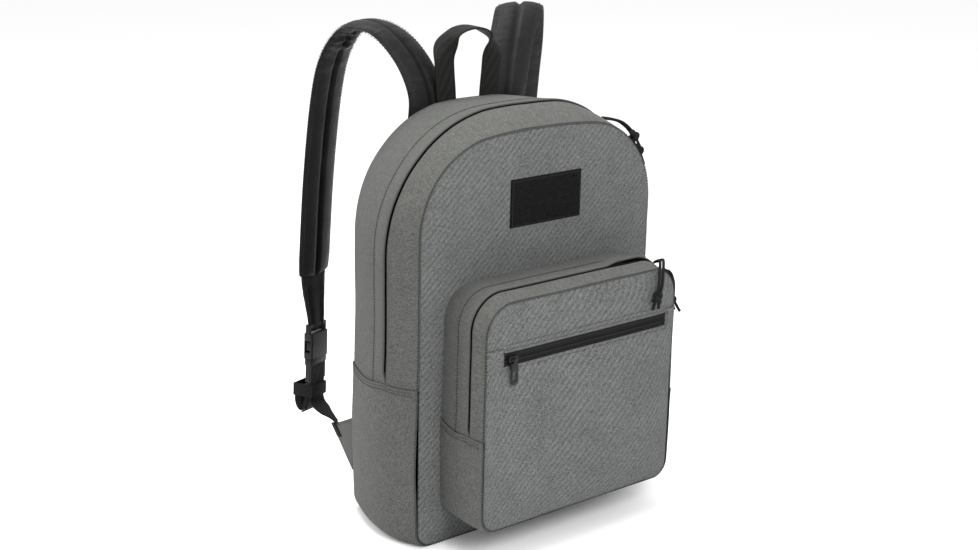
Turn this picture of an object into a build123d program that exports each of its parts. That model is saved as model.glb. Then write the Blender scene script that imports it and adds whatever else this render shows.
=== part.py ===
from build123d import *
import math
import os

# A daypack, in millimetres. Origin: middle of the base, on the surface it stands on.
# +Z up, -Y towards the front pocket, +Y towards the wearer's back.

# Body: outlines of the front seam, the zipper line and the back seam
FABRIC = 2.2
CROWN_RADIUS = 747.0
FOOT_RADIUS = 18.0
FRONT_Y = -65.0
ZIP_Y = -23.0
BACK_Y = 58.0
FRONT_OUTLINE = {"width": 306.0, "height": 423.0, "corner": 93.0}
ZIP_OUTLINE = {"width": 332.0, "height": 439.0, "corner": 135.0}
BACK_OUTLINE = {"width": 292.0, "height": 434.0, "corner": 124.0}
ZIP_GROOVE = 10.0
ZIP_TAPE_WIDTH = 18.0
ZIP_RECESS = 4.2
ZIP_TAPE = 1.2
LOWER_SEAM = {"front": 174.0, "zip": 173.0, "back": 168.0}
FOAM = 8.0
FOAM_MARGIN = 14.0

# Front pocket: a box with a rounded top, sewn on the front panel
POCKET_FABRIC = 2.0
POCKET_FACE_Y = -138.0
POCKET_ZIP_Y = -113.0
POCKET_ROOT = {"width": 248.0, "low": 34.0, "high": 277.0, "corner": 36.0}
POCKET_ZIP = {"width": 256.0, "low": 34.0, "high": 279.0, "corner": 36.0}
POCKET_FACE = {"width": 254.0, "low": 37.0, "high": 275.0, "corner": 34.0}
POCKET_FOOT = 18.0
POCKET_GROOVE = 8.0
POCKET_TAPE_WIDTH = 14.0
POCKET_LOWER_SEAM = 137.0

# Slip pocket in the face of the front pocket
SLIP_TOP = 226.0
SLIP_HEIGHT = 15.0
SLIP_LEFT = -105.0
SLIP_RIGHT = 112.0
SLIP_TAPE = 1.2
LINING = 0.8

# Loop patch on the front panel
PATCH_SIZE = (94.0, 50.0, 1.6)
PATCH_AT = (4.0, 349.0)

# Shoulder straps, both written for the +X side; the right one stands nearer to the back at its bend
STRAP_WIDTH = 50.0
STRAP_THICK = 9.0
STRAP_TURN = 16.0
STRAP_ROUTES = {
    "left": [
        (53.0, 61.0, 441.0),
        (63.0, 68.0, 472.0),
        (80.0, 80.0, 499.0),
        (96.0, 96.0, 511.0),
        (108.0, 115.0, 507.0),
        (117.0, 134.0, 478.0),
        (122.0, 145.0, 430.0),
        (129.0, 150.5, 340.0),
        (137.5, 149.0, 231.0),
    ],
    "right": [
        (53.0, 61.0, 441.0),
        (63.0, 68.0, 472.0),
        (79.0, 79.0, 501.0),
        (95.0, 92.0, 517.0),
        (112.0, 108.0, 509.0),
        (124.0, 122.0, 472.0),
        (130.0, 134.0, 425.0),
        (134.0, 146.0, 335.0),
        (137.5, 149.0, 231.0),
    ],
}
STRAP_STATIONS = 22
STRAP_EDGE = 4.0
HOLDER_START = (38.0, 7.0)
HOLDER_END = (26.0, 4.6)

# Side-release buckle for 25 mm webbing, local axes: X across, Y towards the pack, Z down to the plug
WEBBING = 25.0
WEBBING_THICK = 1.8
BUCKLE_TOP = (138.0, 143.5, 185.0)
BUCKLE_FOOT = (142.5, 139.5, 118.0)
BUCKLE_TURN = 24.0
BUCKLE_WIDTH = 33.0
BUCKLE_THICK = 11.0
SOCKET_LENGTH = 38.0
SOCKET_CASE_FROM = 10.0
SOCKET_WALL = 2.2
WINDOW_FROM = 18.0
WINDOW_LENGTH = 13.0
PLUG_GAP = 0.4
PLUG_LENGTH = 26.0
PLUG_BASE = 7.0
PLUG_RAIL = 2.6
BAR = 3.2
PRONG_LENGTH = 22.0
ROLL_SIZE = (28.0, 17.0)
ROLL_AT = (-9.5, 14.0)
KEEPER_HEIGHT = 14.0
KEEPER_THICK = 1.0

# Wing tab on the back seam, where the lower webbing is sewn
TAB_X = 146.0
TAB_THICK = 3.0
TAB_POINTS = [(60.2, 41.0), (60.2, 103.0), (92.0, 86.0), (92.0, 74.0)]
TAB_TIP = (146.0, 94.0, 88.0)
TAB_END_SIZE = (6.0, 9.0, 24.0)
TAB_END_TILT = 32.0

# Grab handle of webbing, flat across X at its ends and twisted on edge at its top
HANDLE_ROUTE = [
    (28.0, 54.0, 436.5),
    (30.5, 54.0, 460.0),
    (31.5, 54.0, 486.0),
    (19.0, 54.0, 504.0),
    (0.0, 54.0, 508.0),
]
HANDLE_X = -4.0
HANDLE_THICK = 3.0
HANDLE_STATIONS = 29
HANDLE_TWIST = (0.2, 0.4)

# Sliders and pull cords
SLIDER = (11.0, 7.0, 3.6)
SLIDER_GAP = 0.4
BRIDGE = (7.0, 2.0, 2.6)
BRIDGE_BAR = 0.9
CORD = 3.2
KNOT = (9.5, 12.5, 10.5)
MAIN_SLIDER_ANGLES = (51.0, 43.0)
POCKET_SLIDER_ANGLES = (46.0, 24.0)
SLIP_SLIDER_X = -97.0
TAB_SIZE = (9.0, 1.2, 25.0)

# Pull cords: the middle line from the slider's eye through the knot to the tails' ends, and how far
# the two legs stand off it, to each side, at each point
MAIN_PULL_1 = [
    (118.7, -24.0, 411.5),
    (129.0, -32.5, 408.5),
    (137.0, -38.5, 400.0),
    (143.0, -43.5, 389.0),
    (145.0, -47.5, 377.5),
]
MAIN_PULL_2 = [
    (132.9, -22.0, 398.3),
    (147.0, -24.0, 391.5),
    (161.0, -25.5, 382.0),
    (172.5, -26.0, 370.5),
    (176.5, -27.0, 355.5),
]
POCKET_PULL_1 = [
    (120.7, -113.0, 272.7),
    (118.5, -123.0, 278.5),
    (107.0, -135.5, 280.0),
    (96.5, -146.0, 272.5),
    (93.0, -149.5, 260.0),
    (90.0, -148.5, 247.5),
    (90.5, -146.5, 235.0),
]
POCKET_PULL_2 = [
    (128.9, -113.0, 259.4),
    (134.5, -113.2, 262.0),
    (140.0, -114.2, 259.0),
    (143.0, -116.0, 250.5),
    (142.5, -118.5, 241.5),
    (138.5, -121.0, 230.5),
    (146.5, -123.0, 217.0),
]
PULL_SPREAD = (1.9, 2.5, 1.9, 4.2)


def on(y):
    """Sketch plane facing the front, at depth y: local X is X, local Y is Z."""
    return Plane.XZ.offset(-y)


def arch(y, width, height, corner, inset=0.0):
    """Body outline: straight sides, two corner arcs, a wide crown arc and rounded feet."""
    half = width / 2 - inset
    top = height - inset
    low = inset
    corner_r = corner - inset
    crown_r = CROWN_RADIUS - inset
    foot = FOOT_RADIUS - inset
    centre_x = half - corner_r
    centre_z = top - crown_r + math.sqrt((crown_r - corner_r) ** 2 - centre_x**2)
    lean = math.degrees(math.asin(centre_x / (crown_r - corner_r)))
    edges = Curve() + [
        Line((-half + foot, low), (half - foot, low)),
        CenterArc((half - foot, low + foot), foot, -90, 90),
        Line((half, low + foot), (half, centre_z)),
        CenterArc((centre_x, centre_z), corner_r, 0, 90 - lean),
        CenterArc((0, top - crown_r), crown_r, 90 - lean, 2 * lean),
        CenterArc((-centre_x, centre_z), corner_r, 90 + lean, 90 - lean),
        Line((-half, centre_z), (-half, low + foot)),
        CenterArc((-half + foot, low + foot), foot, 180, 90),
    ]
    return on(y) * make_face(edges)


def pocket_outline(y, width, low, high, corner, inset=0.0):
    """Pocket outline: a rectangle with large top corners and small bottom ones."""
    half = width / 2 - inset
    top = high - inset
    base = low + inset
    corner_r = corner - inset
    foot = POCKET_FOOT - inset
    edges = Curve() + [
        Line((-half + foot, base), (half - foot, base)),
        CenterArc((half - foot, base + foot), foot, -90, 90),
        Line((half, base + foot), (half, top - corner_r)),
        CenterArc((half - corner_r, top - corner_r), corner_r, 0, 90),
        Line((half - corner_r, top), (-half + corner_r, top)),
        CenterArc((-half + corner_r, top - corner_r), corner_r, 90, 90),
        Line((-half, top - corner_r), (-half, base + foot)),
        CenterArc((-half + foot, base + foot), foot, 180, 90),
    ]
    return on(y) * make_face(edges)


def body_core(inset):
    """Solid inside the gusset's surface, offset inwards by inset."""
    stations = [(FRONT_Y, FRONT_OUTLINE), (ZIP_Y, ZIP_OUTLINE), (BACK_Y, BACK_OUTLINE)]
    return loft([arch(y, **outline, inset=inset) for y, outline in stations], ruled=True)


def pocket_core(inset):
    """Solid inside the pocket's surface, offset inwards by inset."""
    stations = [
        (POCKET_FACE_Y, POCKET_FACE),
        (POCKET_ZIP_Y, POCKET_ZIP),
        (FRONT_Y - FABRIC, POCKET_ROOT),
    ]
    return loft([pocket_outline(y, **outline, inset=inset) for y, outline in stations], ruled=True)


def slab(y_from, y_to):
    """All the space between two depths."""
    return Pos(0, (y_from + y_to) / 2, 250) * Box(600, y_to - y_from, 700)


def below_seam(seam):
    """Space under the lower gusset's seam, drawn as (y, z) points and swept across the width."""
    low = -50
    points = [(FRONT_Y - 200, low), (FRONT_Y - 200, seam[0][1]), *seam, (BACK_Y + 50, seam[-1][1])]
    points.append((BACK_Y + 50, low))
    return extrude(Plane.YZ.offset(-300) * make_face(Polyline(*points, close=True)), 600)


def make_body():
    """Panels, gussets and main zipper of the bag itself."""
    inner = body_core(FABRIC)
    shell = body_core(0) - inner
    recess = inner - body_core(ZIP_RECESS)
    groove = slab(ZIP_Y - ZIP_GROOVE / 2, ZIP_Y + ZIP_GROOVE / 2)
    tape = inner - body_core(ZIP_RECESS + ZIP_TAPE) - (recess & groove)
    seam = [(FRONT_Y, LOWER_SEAM["front"]), (ZIP_Y, LOWER_SEAM["zip"]), (BACK_Y, LOWER_SEAM["back"])]
    low = below_seam(seam)
    groove_front = ZIP_Y - ZIP_GROOVE / 2
    groove_back = ZIP_Y + ZIP_GROOVE / 2
    yield "lower_gusset", shell & low
    yield "front_gusset", (shell - low) & slab(FRONT_Y, groove_front)
    yield "rear_gusset", (shell - low) & slab(groove_back, BACK_Y)
    yield "main_zipper", (tape - low) & slab(ZIP_Y - ZIP_TAPE_WIDTH / 2, ZIP_Y + ZIP_TAPE_WIDTH / 2)
    yield "front_panel", extrude(arch(FRONT_Y, **FRONT_OUTLINE), FABRIC)
    yield "back_panel", extrude(arch(BACK_Y, **BACK_OUTLINE), -FABRIC)
    foam = extrude(arch(BACK_Y, **BACK_OUTLINE, inset=FOAM_MARGIN), FOAM)
    yield "back_foam", foam
    patch_x, patch_z = PATCH_AT
    patch = on(FRONT_Y - FABRIC) * Pos(patch_x, patch_z) * RectangleRounded(PATCH_SIZE[0], PATCH_SIZE[1], 1.5)
    yield "loop_patch", extrude(patch, PATCH_SIZE[2])


def make_pocket():
    """Gussets, zipper, face panels and slip pocket of the front pocket."""
    root_y = FRONT_Y - FABRIC
    inner = pocket_core(POCKET_FABRIC)
    shell = pocket_core(0) - inner
    recess = inner - pocket_core(ZIP_RECESS)
    groove = slab(POCKET_ZIP_Y - POCKET_GROOVE / 2, POCKET_ZIP_Y + POCKET_GROOVE / 2)
    tape = inner - pocket_core(ZIP_RECESS + ZIP_TAPE) - (recess & groove)
    low = below_seam([(POCKET_FACE_Y, POCKET_LOWER_SEAM), (root_y, POCKET_LOWER_SEAM)])
    groove_front = POCKET_ZIP_Y - POCKET_GROOVE / 2
    groove_back = POCKET_ZIP_Y + POCKET_GROOVE / 2
    half_tape = POCKET_TAPE_WIDTH / 2
    yield "pocket_lower_gusset", shell & low
    yield "pocket_front_gusset", (shell - low) & slab(POCKET_FACE_Y, groove_front)
    yield "pocket_rear_gusset", (shell - low) & slab(groove_back, root_y)
    yield "pocket_zipper", (tape - low) & slab(POCKET_ZIP_Y - half_tape, POCKET_ZIP_Y + half_tape)

    face = extrude(pocket_outline(POCKET_FACE_Y, **POCKET_FACE), POCKET_FABRIC)
    slip_low = SLIP_TOP - SLIP_HEIGHT
    slip_middle = (SLIP_LEFT + SLIP_RIGHT) / 2
    window_size = SLIP_RIGHT - SLIP_LEFT
    window = Pos(slip_middle, POCKET_FACE_Y, SLIP_TOP - SLIP_HEIGHT / 2) * Box(window_size, 20, SLIP_HEIGHT)
    under = Pos(0, POCKET_FACE_Y, slip_low - 250) * Box(600, 50, 500)
    yield "pocket_upper_face", face - window - under
    yield "pocket_lower_face", (face - window) & under
    tape_face = on(POCKET_FACE_Y) * Pos(slip_middle, SLIP_TOP - SLIP_HEIGHT / 2)
    yield "slip_zipper", extrude(tape_face * Rectangle(window_size, SLIP_HEIGHT), SLIP_TAPE)
    lining_height = 130.0
    lining = on(POCKET_FACE_Y) * Pos(slip_middle, SLIP_TOP - lining_height / 2)
    yield "slip_pocket_lining", extrude(lining * Rectangle(window_size, lining_height), -LINING)


def frame_at(curve, share, turn):
    """Plane across a strip's centre line, with its width axis level and turned from X by turn degrees."""
    tangent = curve % share
    heading = Vector(math.cos(math.radians(turn)), -math.sin(math.radians(turn)), 0)
    return Plane(origin=curve @ share, x_dir=heading, z_dir=tangent - heading * tangent.dot(heading))


def buckle_plane():
    """Local frame of the buckle: Z from the socket's webbing bar towards the plug's end."""
    axis = (Vector(*BUCKLE_FOOT) - Vector(*BUCKLE_TOP)).normalized()
    turn = math.radians(BUCKLE_TURN)
    heading = Vector(math.cos(turn), -math.sin(turn), 0)
    return Plane(origin=BUCKLE_TOP, x_dir=heading - axis * heading.dot(axis), z_dir=axis)


def block(size, at):
    """Box given by its size and the middle of its near end."""
    width, thick, length = size
    x, y, z = at
    return Pos(x, y, z + length / 2) * Box(width, thick, length)


def make_socket():
    """Socket half: a flat case open at the plug's end, with side windows and a webbing bar."""
    case = block((BUCKLE_WIDTH, BUCKLE_THICK, SOCKET_LENGTH - SOCKET_CASE_FROM), (0, 0, SOCKET_CASE_FROM))
    case = fillet(case.edges().filter_by(Axis.Z), 2.5)
    room = (BUCKLE_WIDTH - 2 * SOCKET_WALL, BUCKLE_THICK - 2 * SOCKET_WALL)
    case -= block((*room, SOCKET_LENGTH), (0, 0, SOCKET_CASE_FROM + SOCKET_WALL))
    case -= block((BUCKLE_WIDTH + 2, room[1], WINDOW_LENGTH), (0, 0, WINDOW_FROM))
    for side in (-1, 1):
        case += block((BAR, 5.0, SOCKET_CASE_FROM + 1), (side * (BUCKLE_WIDTH - BAR) / 2, 0, 0))
    case += block((BUCKLE_WIDTH, 5.0, BAR), (0, 0, 0))
    return case


def make_plug():
    """Plug half: a base with two ladder bars that grip the lower webbing."""
    start = SOCKET_LENGTH + PLUG_GAP
    width = BUCKLE_WIDTH - 2
    plug = block((width, 8.0, PLUG_BASE), (0, 0, start))
    for side in (-1, 1):
        plug += block((PLUG_RAIL, 6.0, PLUG_LENGTH), (side * (width - PLUG_RAIL) / 2, 0, start))
    for bar_z in (start + PLUG_LENGTH / 2, start + PLUG_LENGTH - BAR):
        plug += block((width, 4.0, BAR), (0, 0, bar_z))
    return plug


def make_prongs():
    """Two spring arms with heads that catch in the windows, and a middle guide tongue."""
    start = SOCKET_LENGTH + PLUG_GAP
    prongs = block((6.0, 4.0, PRONG_LENGTH - 2), (0, 0, start - PRONG_LENGTH + 2))
    for side in (-1, 1):
        prongs += block((3.0, 4.6, PRONG_LENGTH), (side * 10.5, 0, start - PRONG_LENGTH))
        prongs += block((3.6, 4.6, 9.0), (side * 13.2, 0, WINDOW_FROM + 2))
    prongs += block((24.0, 4.0, 1.5), (0, 0, start - 1.5))
    return prongs


def make_strap(points):
    """One shoulder strap with its buckle and webbing, for the +X side."""
    route = Spline(*points)
    sections = []
    for step in range(STRAP_STATIONS):
        share = step / (STRAP_STATIONS - 1)
        turn = STRAP_TURN * min(1.0, 1.6 * share)
        outline = RectangleRounded(STRAP_WIDTH, STRAP_THICK, STRAP_EDGE)
        sections.append(frame_at(route, share, turn) * outline)
    yield "shoulder_pad", loft(sections, ruled=True)

    local = buckle_plane()
    ends = [(frame_at(route, 1, STRAP_TURN), HOLDER_START), (local, HOLDER_END)]
    yield "strap_end", loft([plane * RectangleRounded(*size, 2) for plane, size in ends], ruled=True)
    yield "buckle_female", local * make_socket()
    yield "buckle_male", local * make_plug()
    yield "buckle_prongs", local * make_prongs()

    plug_end = SOCKET_LENGTH + PLUG_GAP + PLUG_LENGTH
    roll_y, roll_z = ROLL_AT
    roll_middle = local * Pos(0, roll_y, plug_end + roll_z)
    side_view = roll_middle * Rot(0, 90, 0)
    roll_z_size, roll_y_size = ROLL_SIZE
    yield "rolled_tail", extrude(side_view * Ellipse(roll_z_size / 2, roll_y_size / 2), WEBBING / 2, both=True)

    webbing_y = 2.0 + WEBBING_THICK / 2 + 0.2
    keeper_low = roll_y - roll_y_size / 2 - 0.5
    keeper_high = webbing_y + WEBBING_THICK / 2 + 0.5
    inside = (WEBBING + 1.0, keeper_high - keeper_low)
    outside = (inside[0] + 2 * KEEPER_THICK, inside[1] + 2 * KEEPER_THICK)
    keeper_at = (0, (keeper_low + keeper_high) / 2, plug_end + roll_z - KEEPER_HEIGHT / 2)
    yield "elastic_keeper", local * (block((*outside, KEEPER_HEIGHT), keeper_at) - block((*inside, KEEPER_HEIGHT), keeper_at))

    strip = Rectangle(WEBBING, WEBBING_THICK)
    narrow = Rectangle(WEBBING * 0.55, WEBBING_THICK)
    straight_to = plug_end + roll_z + KEEPER_HEIGHT / 2 + 2
    start = local * Pos(0, webbing_y, SOCKET_LENGTH + PLUG_BASE + 6)
    bend = local * Pos(0, webbing_y, straight_to)
    bend_point = Vector(bend.position)
    down = (Vector(*TAB_TIP) - bend_point).normalized()
    middle_point = (Vector(*TAB_TIP) + bend_point) * 0.5
    heading = Vector(math.cos(math.radians(65)), math.sin(math.radians(65)), 0)
    middle = Plane(origin=middle_point, x_dir=Vector(0.95, 0.1, 0) - down * down.dot(Vector(0.95, 0.1, 0)), z_dir=down)
    last = Plane(origin=TAB_TIP, x_dir=heading - down * heading.dot(down), z_dir=down)
    yield "lower_webbing", loft([start * strip, bend * strip, middle * strip, last * narrow], ruled=True)

    outline = Plane.YZ.offset(TAB_X - TAB_THICK / 2) * make_face(Polyline(*TAB_POINTS, close=True))
    yield "wing_tab", extrude(outline, TAB_THICK)
    _, tip_y, tip_z = TAB_TIP
    folded = Box(*TAB_END_SIZE)
    yield "tab_webbing", Pos(TAB_X, tip_y - 4.0, tip_z - 13.5) * Rot(-TAB_END_TILT, 0, 0) * folded


def make_handle():
    """Grab handle: one strip of webbing from seam to seam, twisted on edge at the top."""
    left = [(-x, y, z) for x, y, z in HANDLE_ROUTE[:-1]]
    route = Spline(*HANDLE_ROUTE, *reversed(left), tangents=[(0, 0, 1), (0, 0, -1)])
    sections = []
    for step in range(HANDLE_STATIONS):
        share = step / (HANDLE_STATIONS - 1)
        from_end = min(share, 1 - share)
        eased = min(1.0, max(0.0, (from_end - HANDLE_TWIST[0]) / (HANDLE_TWIST[1] - HANDLE_TWIST[0])))
        turn = -90 * eased * eased * (3 - 2 * eased)
        if share > 0.5:
            turn = -180 - turn
        sections.append(frame_at(route, share, turn) * Rectangle(WEBBING, HANDLE_THICK))
    return Pos(HANDLE_X, 0, 0) * loft(sections, ruled=True)


def make_slider():
    """Slider body and bridge, local axes: X along the travel, Y across the coil, Z outwards."""
    length, width, height = SLIDER
    body = Pos(0, 0, height / 2) * Box(length, width, height)
    body = fillet(body.edges().filter_by(Axis.Z), 2.0)
    bridge_length, bridge_width, bridge_height = BRIDGE
    for side in (-1, 1):
        post = Pos(side * (bridge_length - 1.6) / 2, 0, height + bridge_height / 2)
        body += post * Box(1.6, bridge_width, bridge_height)
    bar = Pos(0, 0, height + bridge_height - BRIDGE_BAR) * Rot(0, 90, 0)
    return body + bar * Cylinder(BRIDGE_BAR, bridge_length)


def arc_centre(width, height, corner):
    """Centre of the body outline's corner arc."""
    centre_x = width / 2 - corner
    reach = CROWN_RADIUS - corner
    return centre_x, height - CROWN_RADIUS + math.sqrt(reach**2 - centre_x**2)


def arc_plane(centre, radius, angle, y):
    """Slider's seat on a corner arc: local X runs down the arc, Z points outwards."""
    cos, sin = math.cos(math.radians(angle)), math.sin(math.radians(angle))
    origin = (centre[0] + radius * cos, y, centre[1] + radius * sin)
    return Plane(origin=origin, x_dir=(sin, 0, -cos), z_dir=(cos, 0, sin))


def make_sliders():
    """Sliders of the main zipper, the pocket zipper and the slip pocket's zipper, and its pull tab."""
    main_centre = arc_centre(**ZIP_OUTLINE)
    main_radius = ZIP_OUTLINE["corner"] - ZIP_RECESS + SLIDER_GAP
    for number, angle in enumerate(MAIN_SLIDER_ANGLES, 1):
        seat = arc_plane(main_centre, main_radius, angle, ZIP_Y)
        yield f"main_slider_{number}", seat * make_slider()
    corner = POCKET_ZIP["corner"]
    centre = (POCKET_ZIP["width"] / 2 - corner, POCKET_ZIP["high"] - corner)
    for number, angle in enumerate(POCKET_SLIDER_ANGLES, 1):
        seat = arc_plane(centre, corner - ZIP_RECESS + SLIDER_GAP, angle, POCKET_ZIP_Y)
        yield f"pocket_slider_{number}", seat * make_slider()

    slip_y = POCKET_FACE_Y - SLIP_TAPE - SLIDER_GAP
    slip_seat = on(slip_y) * Pos(SLIP_SLIDER_X, SLIP_TOP - SLIP_HEIGHT / 2)
    yield "slip_slider", slip_seat * make_slider()
    bar_z = SLIDER[2] + BRIDGE[2] - BRIDGE_BAR
    pivot = slip_seat * Pos(0, 0, bar_z)
    width, thick, length = TAB_SIZE
    plate = Pos(0, -length / 2 - 1.0, 0) * extrude(RectangleRounded(width, length, 3.5), thick / 2, both=True)
    hole = Pos(0, -length * 0.66, 0) * extrude(SlotOverall(10.0, 4.2, rotation=90), thick, both=True)
    neck_room = Box(width + 1, 6.6, 4 * thick)
    eye = Rot(0, 90, 0) * (Cylinder(1.6, 2.6) - Cylinder(BRIDGE_BAR + 0.2, 4))
    neck = Pos(0, -3.0, 0) * Box(2.6, 3.2, thick)
    yield "slip_pull_tab", pivot * (plate - hole - neck_room + eye + neck)


def make_pull(name, route, across):
    """Cord pull: two legs from the slider's eye through an overhand knot to two short tails."""
    across = Vector(*across)
    legs = []
    last = len(route) - 1
    for side in (-1, 1):
        spreads = [PULL_SPREAD[0]] + [PULL_SPREAD[1]] * (last - 2) + [PULL_SPREAD[2], PULL_SPREAD[3]]
        points = [Vector(*point) + across * (side * spread) for point, spread in zip(route, spreads)]
        radii = bend_radii(points)
        print(name, "radii", [round(radius, 1) for radius in radii])
        line = FilletPolyline(*points, radius=radii)
        section = Plane(origin=line @ 0, z_dir=line % 0) * Circle(CORD / 2)
        leg = sweep(section, path=line)
        print(name, "length", round(line.length, 1), "volume share", round(leg.volume / (section.area * line.length), 3))
        legs.append(leg)
    yield f"{name}_cord", Compound(children=legs)
    entry, middle, leaving = (Vector(*point) for point in route[-3:])
    facing = Plane(origin=middle, x_dir=across, z_dir=(leaving - entry).normalized())
    thick, wide, tall = KNOT
    knot = Box(wide, thick, tall)
    yield f"{name}_knot", facing * fillet(knot.edges(), 3.6)


def bend_radii(points):
    """Radius of each bend: 0.45 of its shorter run over the tangent of half the turn."""
    radii = []
    for before, here, after in zip(points, points[1:], points[2:]):
        shorter = min((here - before).length, (after - here).length)
        turn = math.radians((here - before).get_angle(after - here))
        radii.append(0.45 * shorter / math.tan(turn / 2))
    return radii


def make_all():
    """Every node's name and shape."""
    yield from make_body()
    yield from make_pocket()
    yield "grab_handle", make_handle()
    for name, shape in make_strap(STRAP_ROUTES["right"]):
        yield f"right_{name}", shape
    for name, shape in make_strap(STRAP_ROUTES["left"]):
        yield f"left_{name}", mirror(shape, about=Plane.YZ)
    yield from make_sliders()
    yield from make_pull("main_pull_1", MAIN_PULL_1, (0, 1, 0))
    yield from make_pull("main_pull_2", MAIN_PULL_2, (0, 1, 0))
    yield from make_pull("pocket_pull_1", POCKET_PULL_1, (1, 0, 0))
    yield from make_pull("pocket_pull_2", POCKET_PULL_2, (0, 1, 0))


os.makedirs("parts", exist_ok=True)
for node, shape in make_all():
    export_step(shape, f"parts/{node}.step")
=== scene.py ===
"""A daypack: its sewn shells, zippers, straps, buckles and cords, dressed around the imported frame."""

import logging
import math
from collections.abc import Callable, Sequence
from dataclasses import dataclass
from enum import Enum
from functools import lru_cache
from typing import Any

import bmesh
import bpy
from mathutils import Matrix, Vector, noise


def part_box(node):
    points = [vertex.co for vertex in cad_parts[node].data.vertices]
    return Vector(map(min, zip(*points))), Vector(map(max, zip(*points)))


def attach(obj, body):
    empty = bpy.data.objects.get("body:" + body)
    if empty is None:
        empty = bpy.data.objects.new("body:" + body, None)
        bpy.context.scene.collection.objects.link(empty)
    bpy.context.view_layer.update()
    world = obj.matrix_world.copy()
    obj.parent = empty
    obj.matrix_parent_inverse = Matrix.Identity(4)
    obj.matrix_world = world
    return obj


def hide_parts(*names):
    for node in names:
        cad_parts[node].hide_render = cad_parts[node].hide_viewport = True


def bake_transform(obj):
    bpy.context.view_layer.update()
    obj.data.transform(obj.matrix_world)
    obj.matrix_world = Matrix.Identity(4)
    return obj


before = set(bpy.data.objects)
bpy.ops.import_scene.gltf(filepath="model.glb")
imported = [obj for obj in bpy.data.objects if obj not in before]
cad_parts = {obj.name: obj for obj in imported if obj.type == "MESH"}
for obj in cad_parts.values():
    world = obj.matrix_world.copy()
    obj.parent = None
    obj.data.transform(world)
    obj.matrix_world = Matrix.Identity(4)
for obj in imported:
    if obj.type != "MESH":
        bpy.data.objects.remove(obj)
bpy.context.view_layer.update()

LOG = logging.getLogger("daypack")
MERGE = 1e-6
MM = 0.001
Place = Callable[[float, float], Vector]
Shade = Callable[[float, float], float]
Dip = Sequence[tuple[float, float]]
Settings = dict[str, Any] | None
Inputs = dict[Any, Any] | None
Colour = tuple[float, float, float]

# How a skin's edge sinks into a sewn seam: (distance from the seam, height over the skin)
SEAM_DIP: Dip = ((0.0, -0.0013), (0.0006, -0.0007), (0.0013, -0.0003), (0.0024, -0.00005), (0.0042, 0.0))


def smooth(value: float) -> float:
    """Eased step: 0 below 0, 1 above 1, level at both ends."""
    value = min(1.0, max(0.0, value))
    return value * value * (3 - 2 * value)


def mix(start: float, end: float, share: float) -> float:
    """Number that lies at that share of the way from start to end."""
    return start + (end - start) * share


def hump(value: float, start: float, end: float, ease: float) -> float:
    """1 between start and end, fading to 0 over ease outside them."""
    return smooth((value - start) / ease + 1) * smooth((end - value) / ease + 1)


# ---------------------------------------------------------------------------------------------
# Shader building
# ---------------------------------------------------------------------------------------------


class Signal:
    """A shader socket carrying one number, which adds Math nodes when it is used in arithmetic."""

    def __init__(self, book: "Book", socket: bpy.types.NodeSocket) -> None:
        """Keeps the socket and the book that it belongs to."""
        self.book = book
        self.socket = socket

    def _math(self, operation: str, first: Any, second: Any = 0.0) -> "Signal":
        """Adds one Math node.

        Args:
            operation: the node's operation.
            first: number or signal for the first socket.
            second: number or signal for the second socket.

        Returns:
            The node's result.
        """
        return self.book.signal("ShaderNodeMath", {"operation": operation}, {0: first, 1: second})

    def __add__(self, other: Any) -> "Signal":
        """Sum."""
        return self._math("ADD", self, other)

    __radd__ = __add__

    def __mul__(self, other: Any) -> "Signal":
        """Product."""
        return self._math("MULTIPLY", self, other)

    __rmul__ = __mul__

    def __sub__(self, other: Any) -> "Signal":
        """Difference."""
        return self._math("SUBTRACT", self, other)

    def __rsub__(self, other: Any) -> "Signal":
        """Reflected difference, so that 1 - mask works."""
        return self._math("SUBTRACT", other, self)

    def sine(self) -> "Signal":
        """Sine of the signal, in radians."""
        return self._math("SINE", self)


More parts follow.
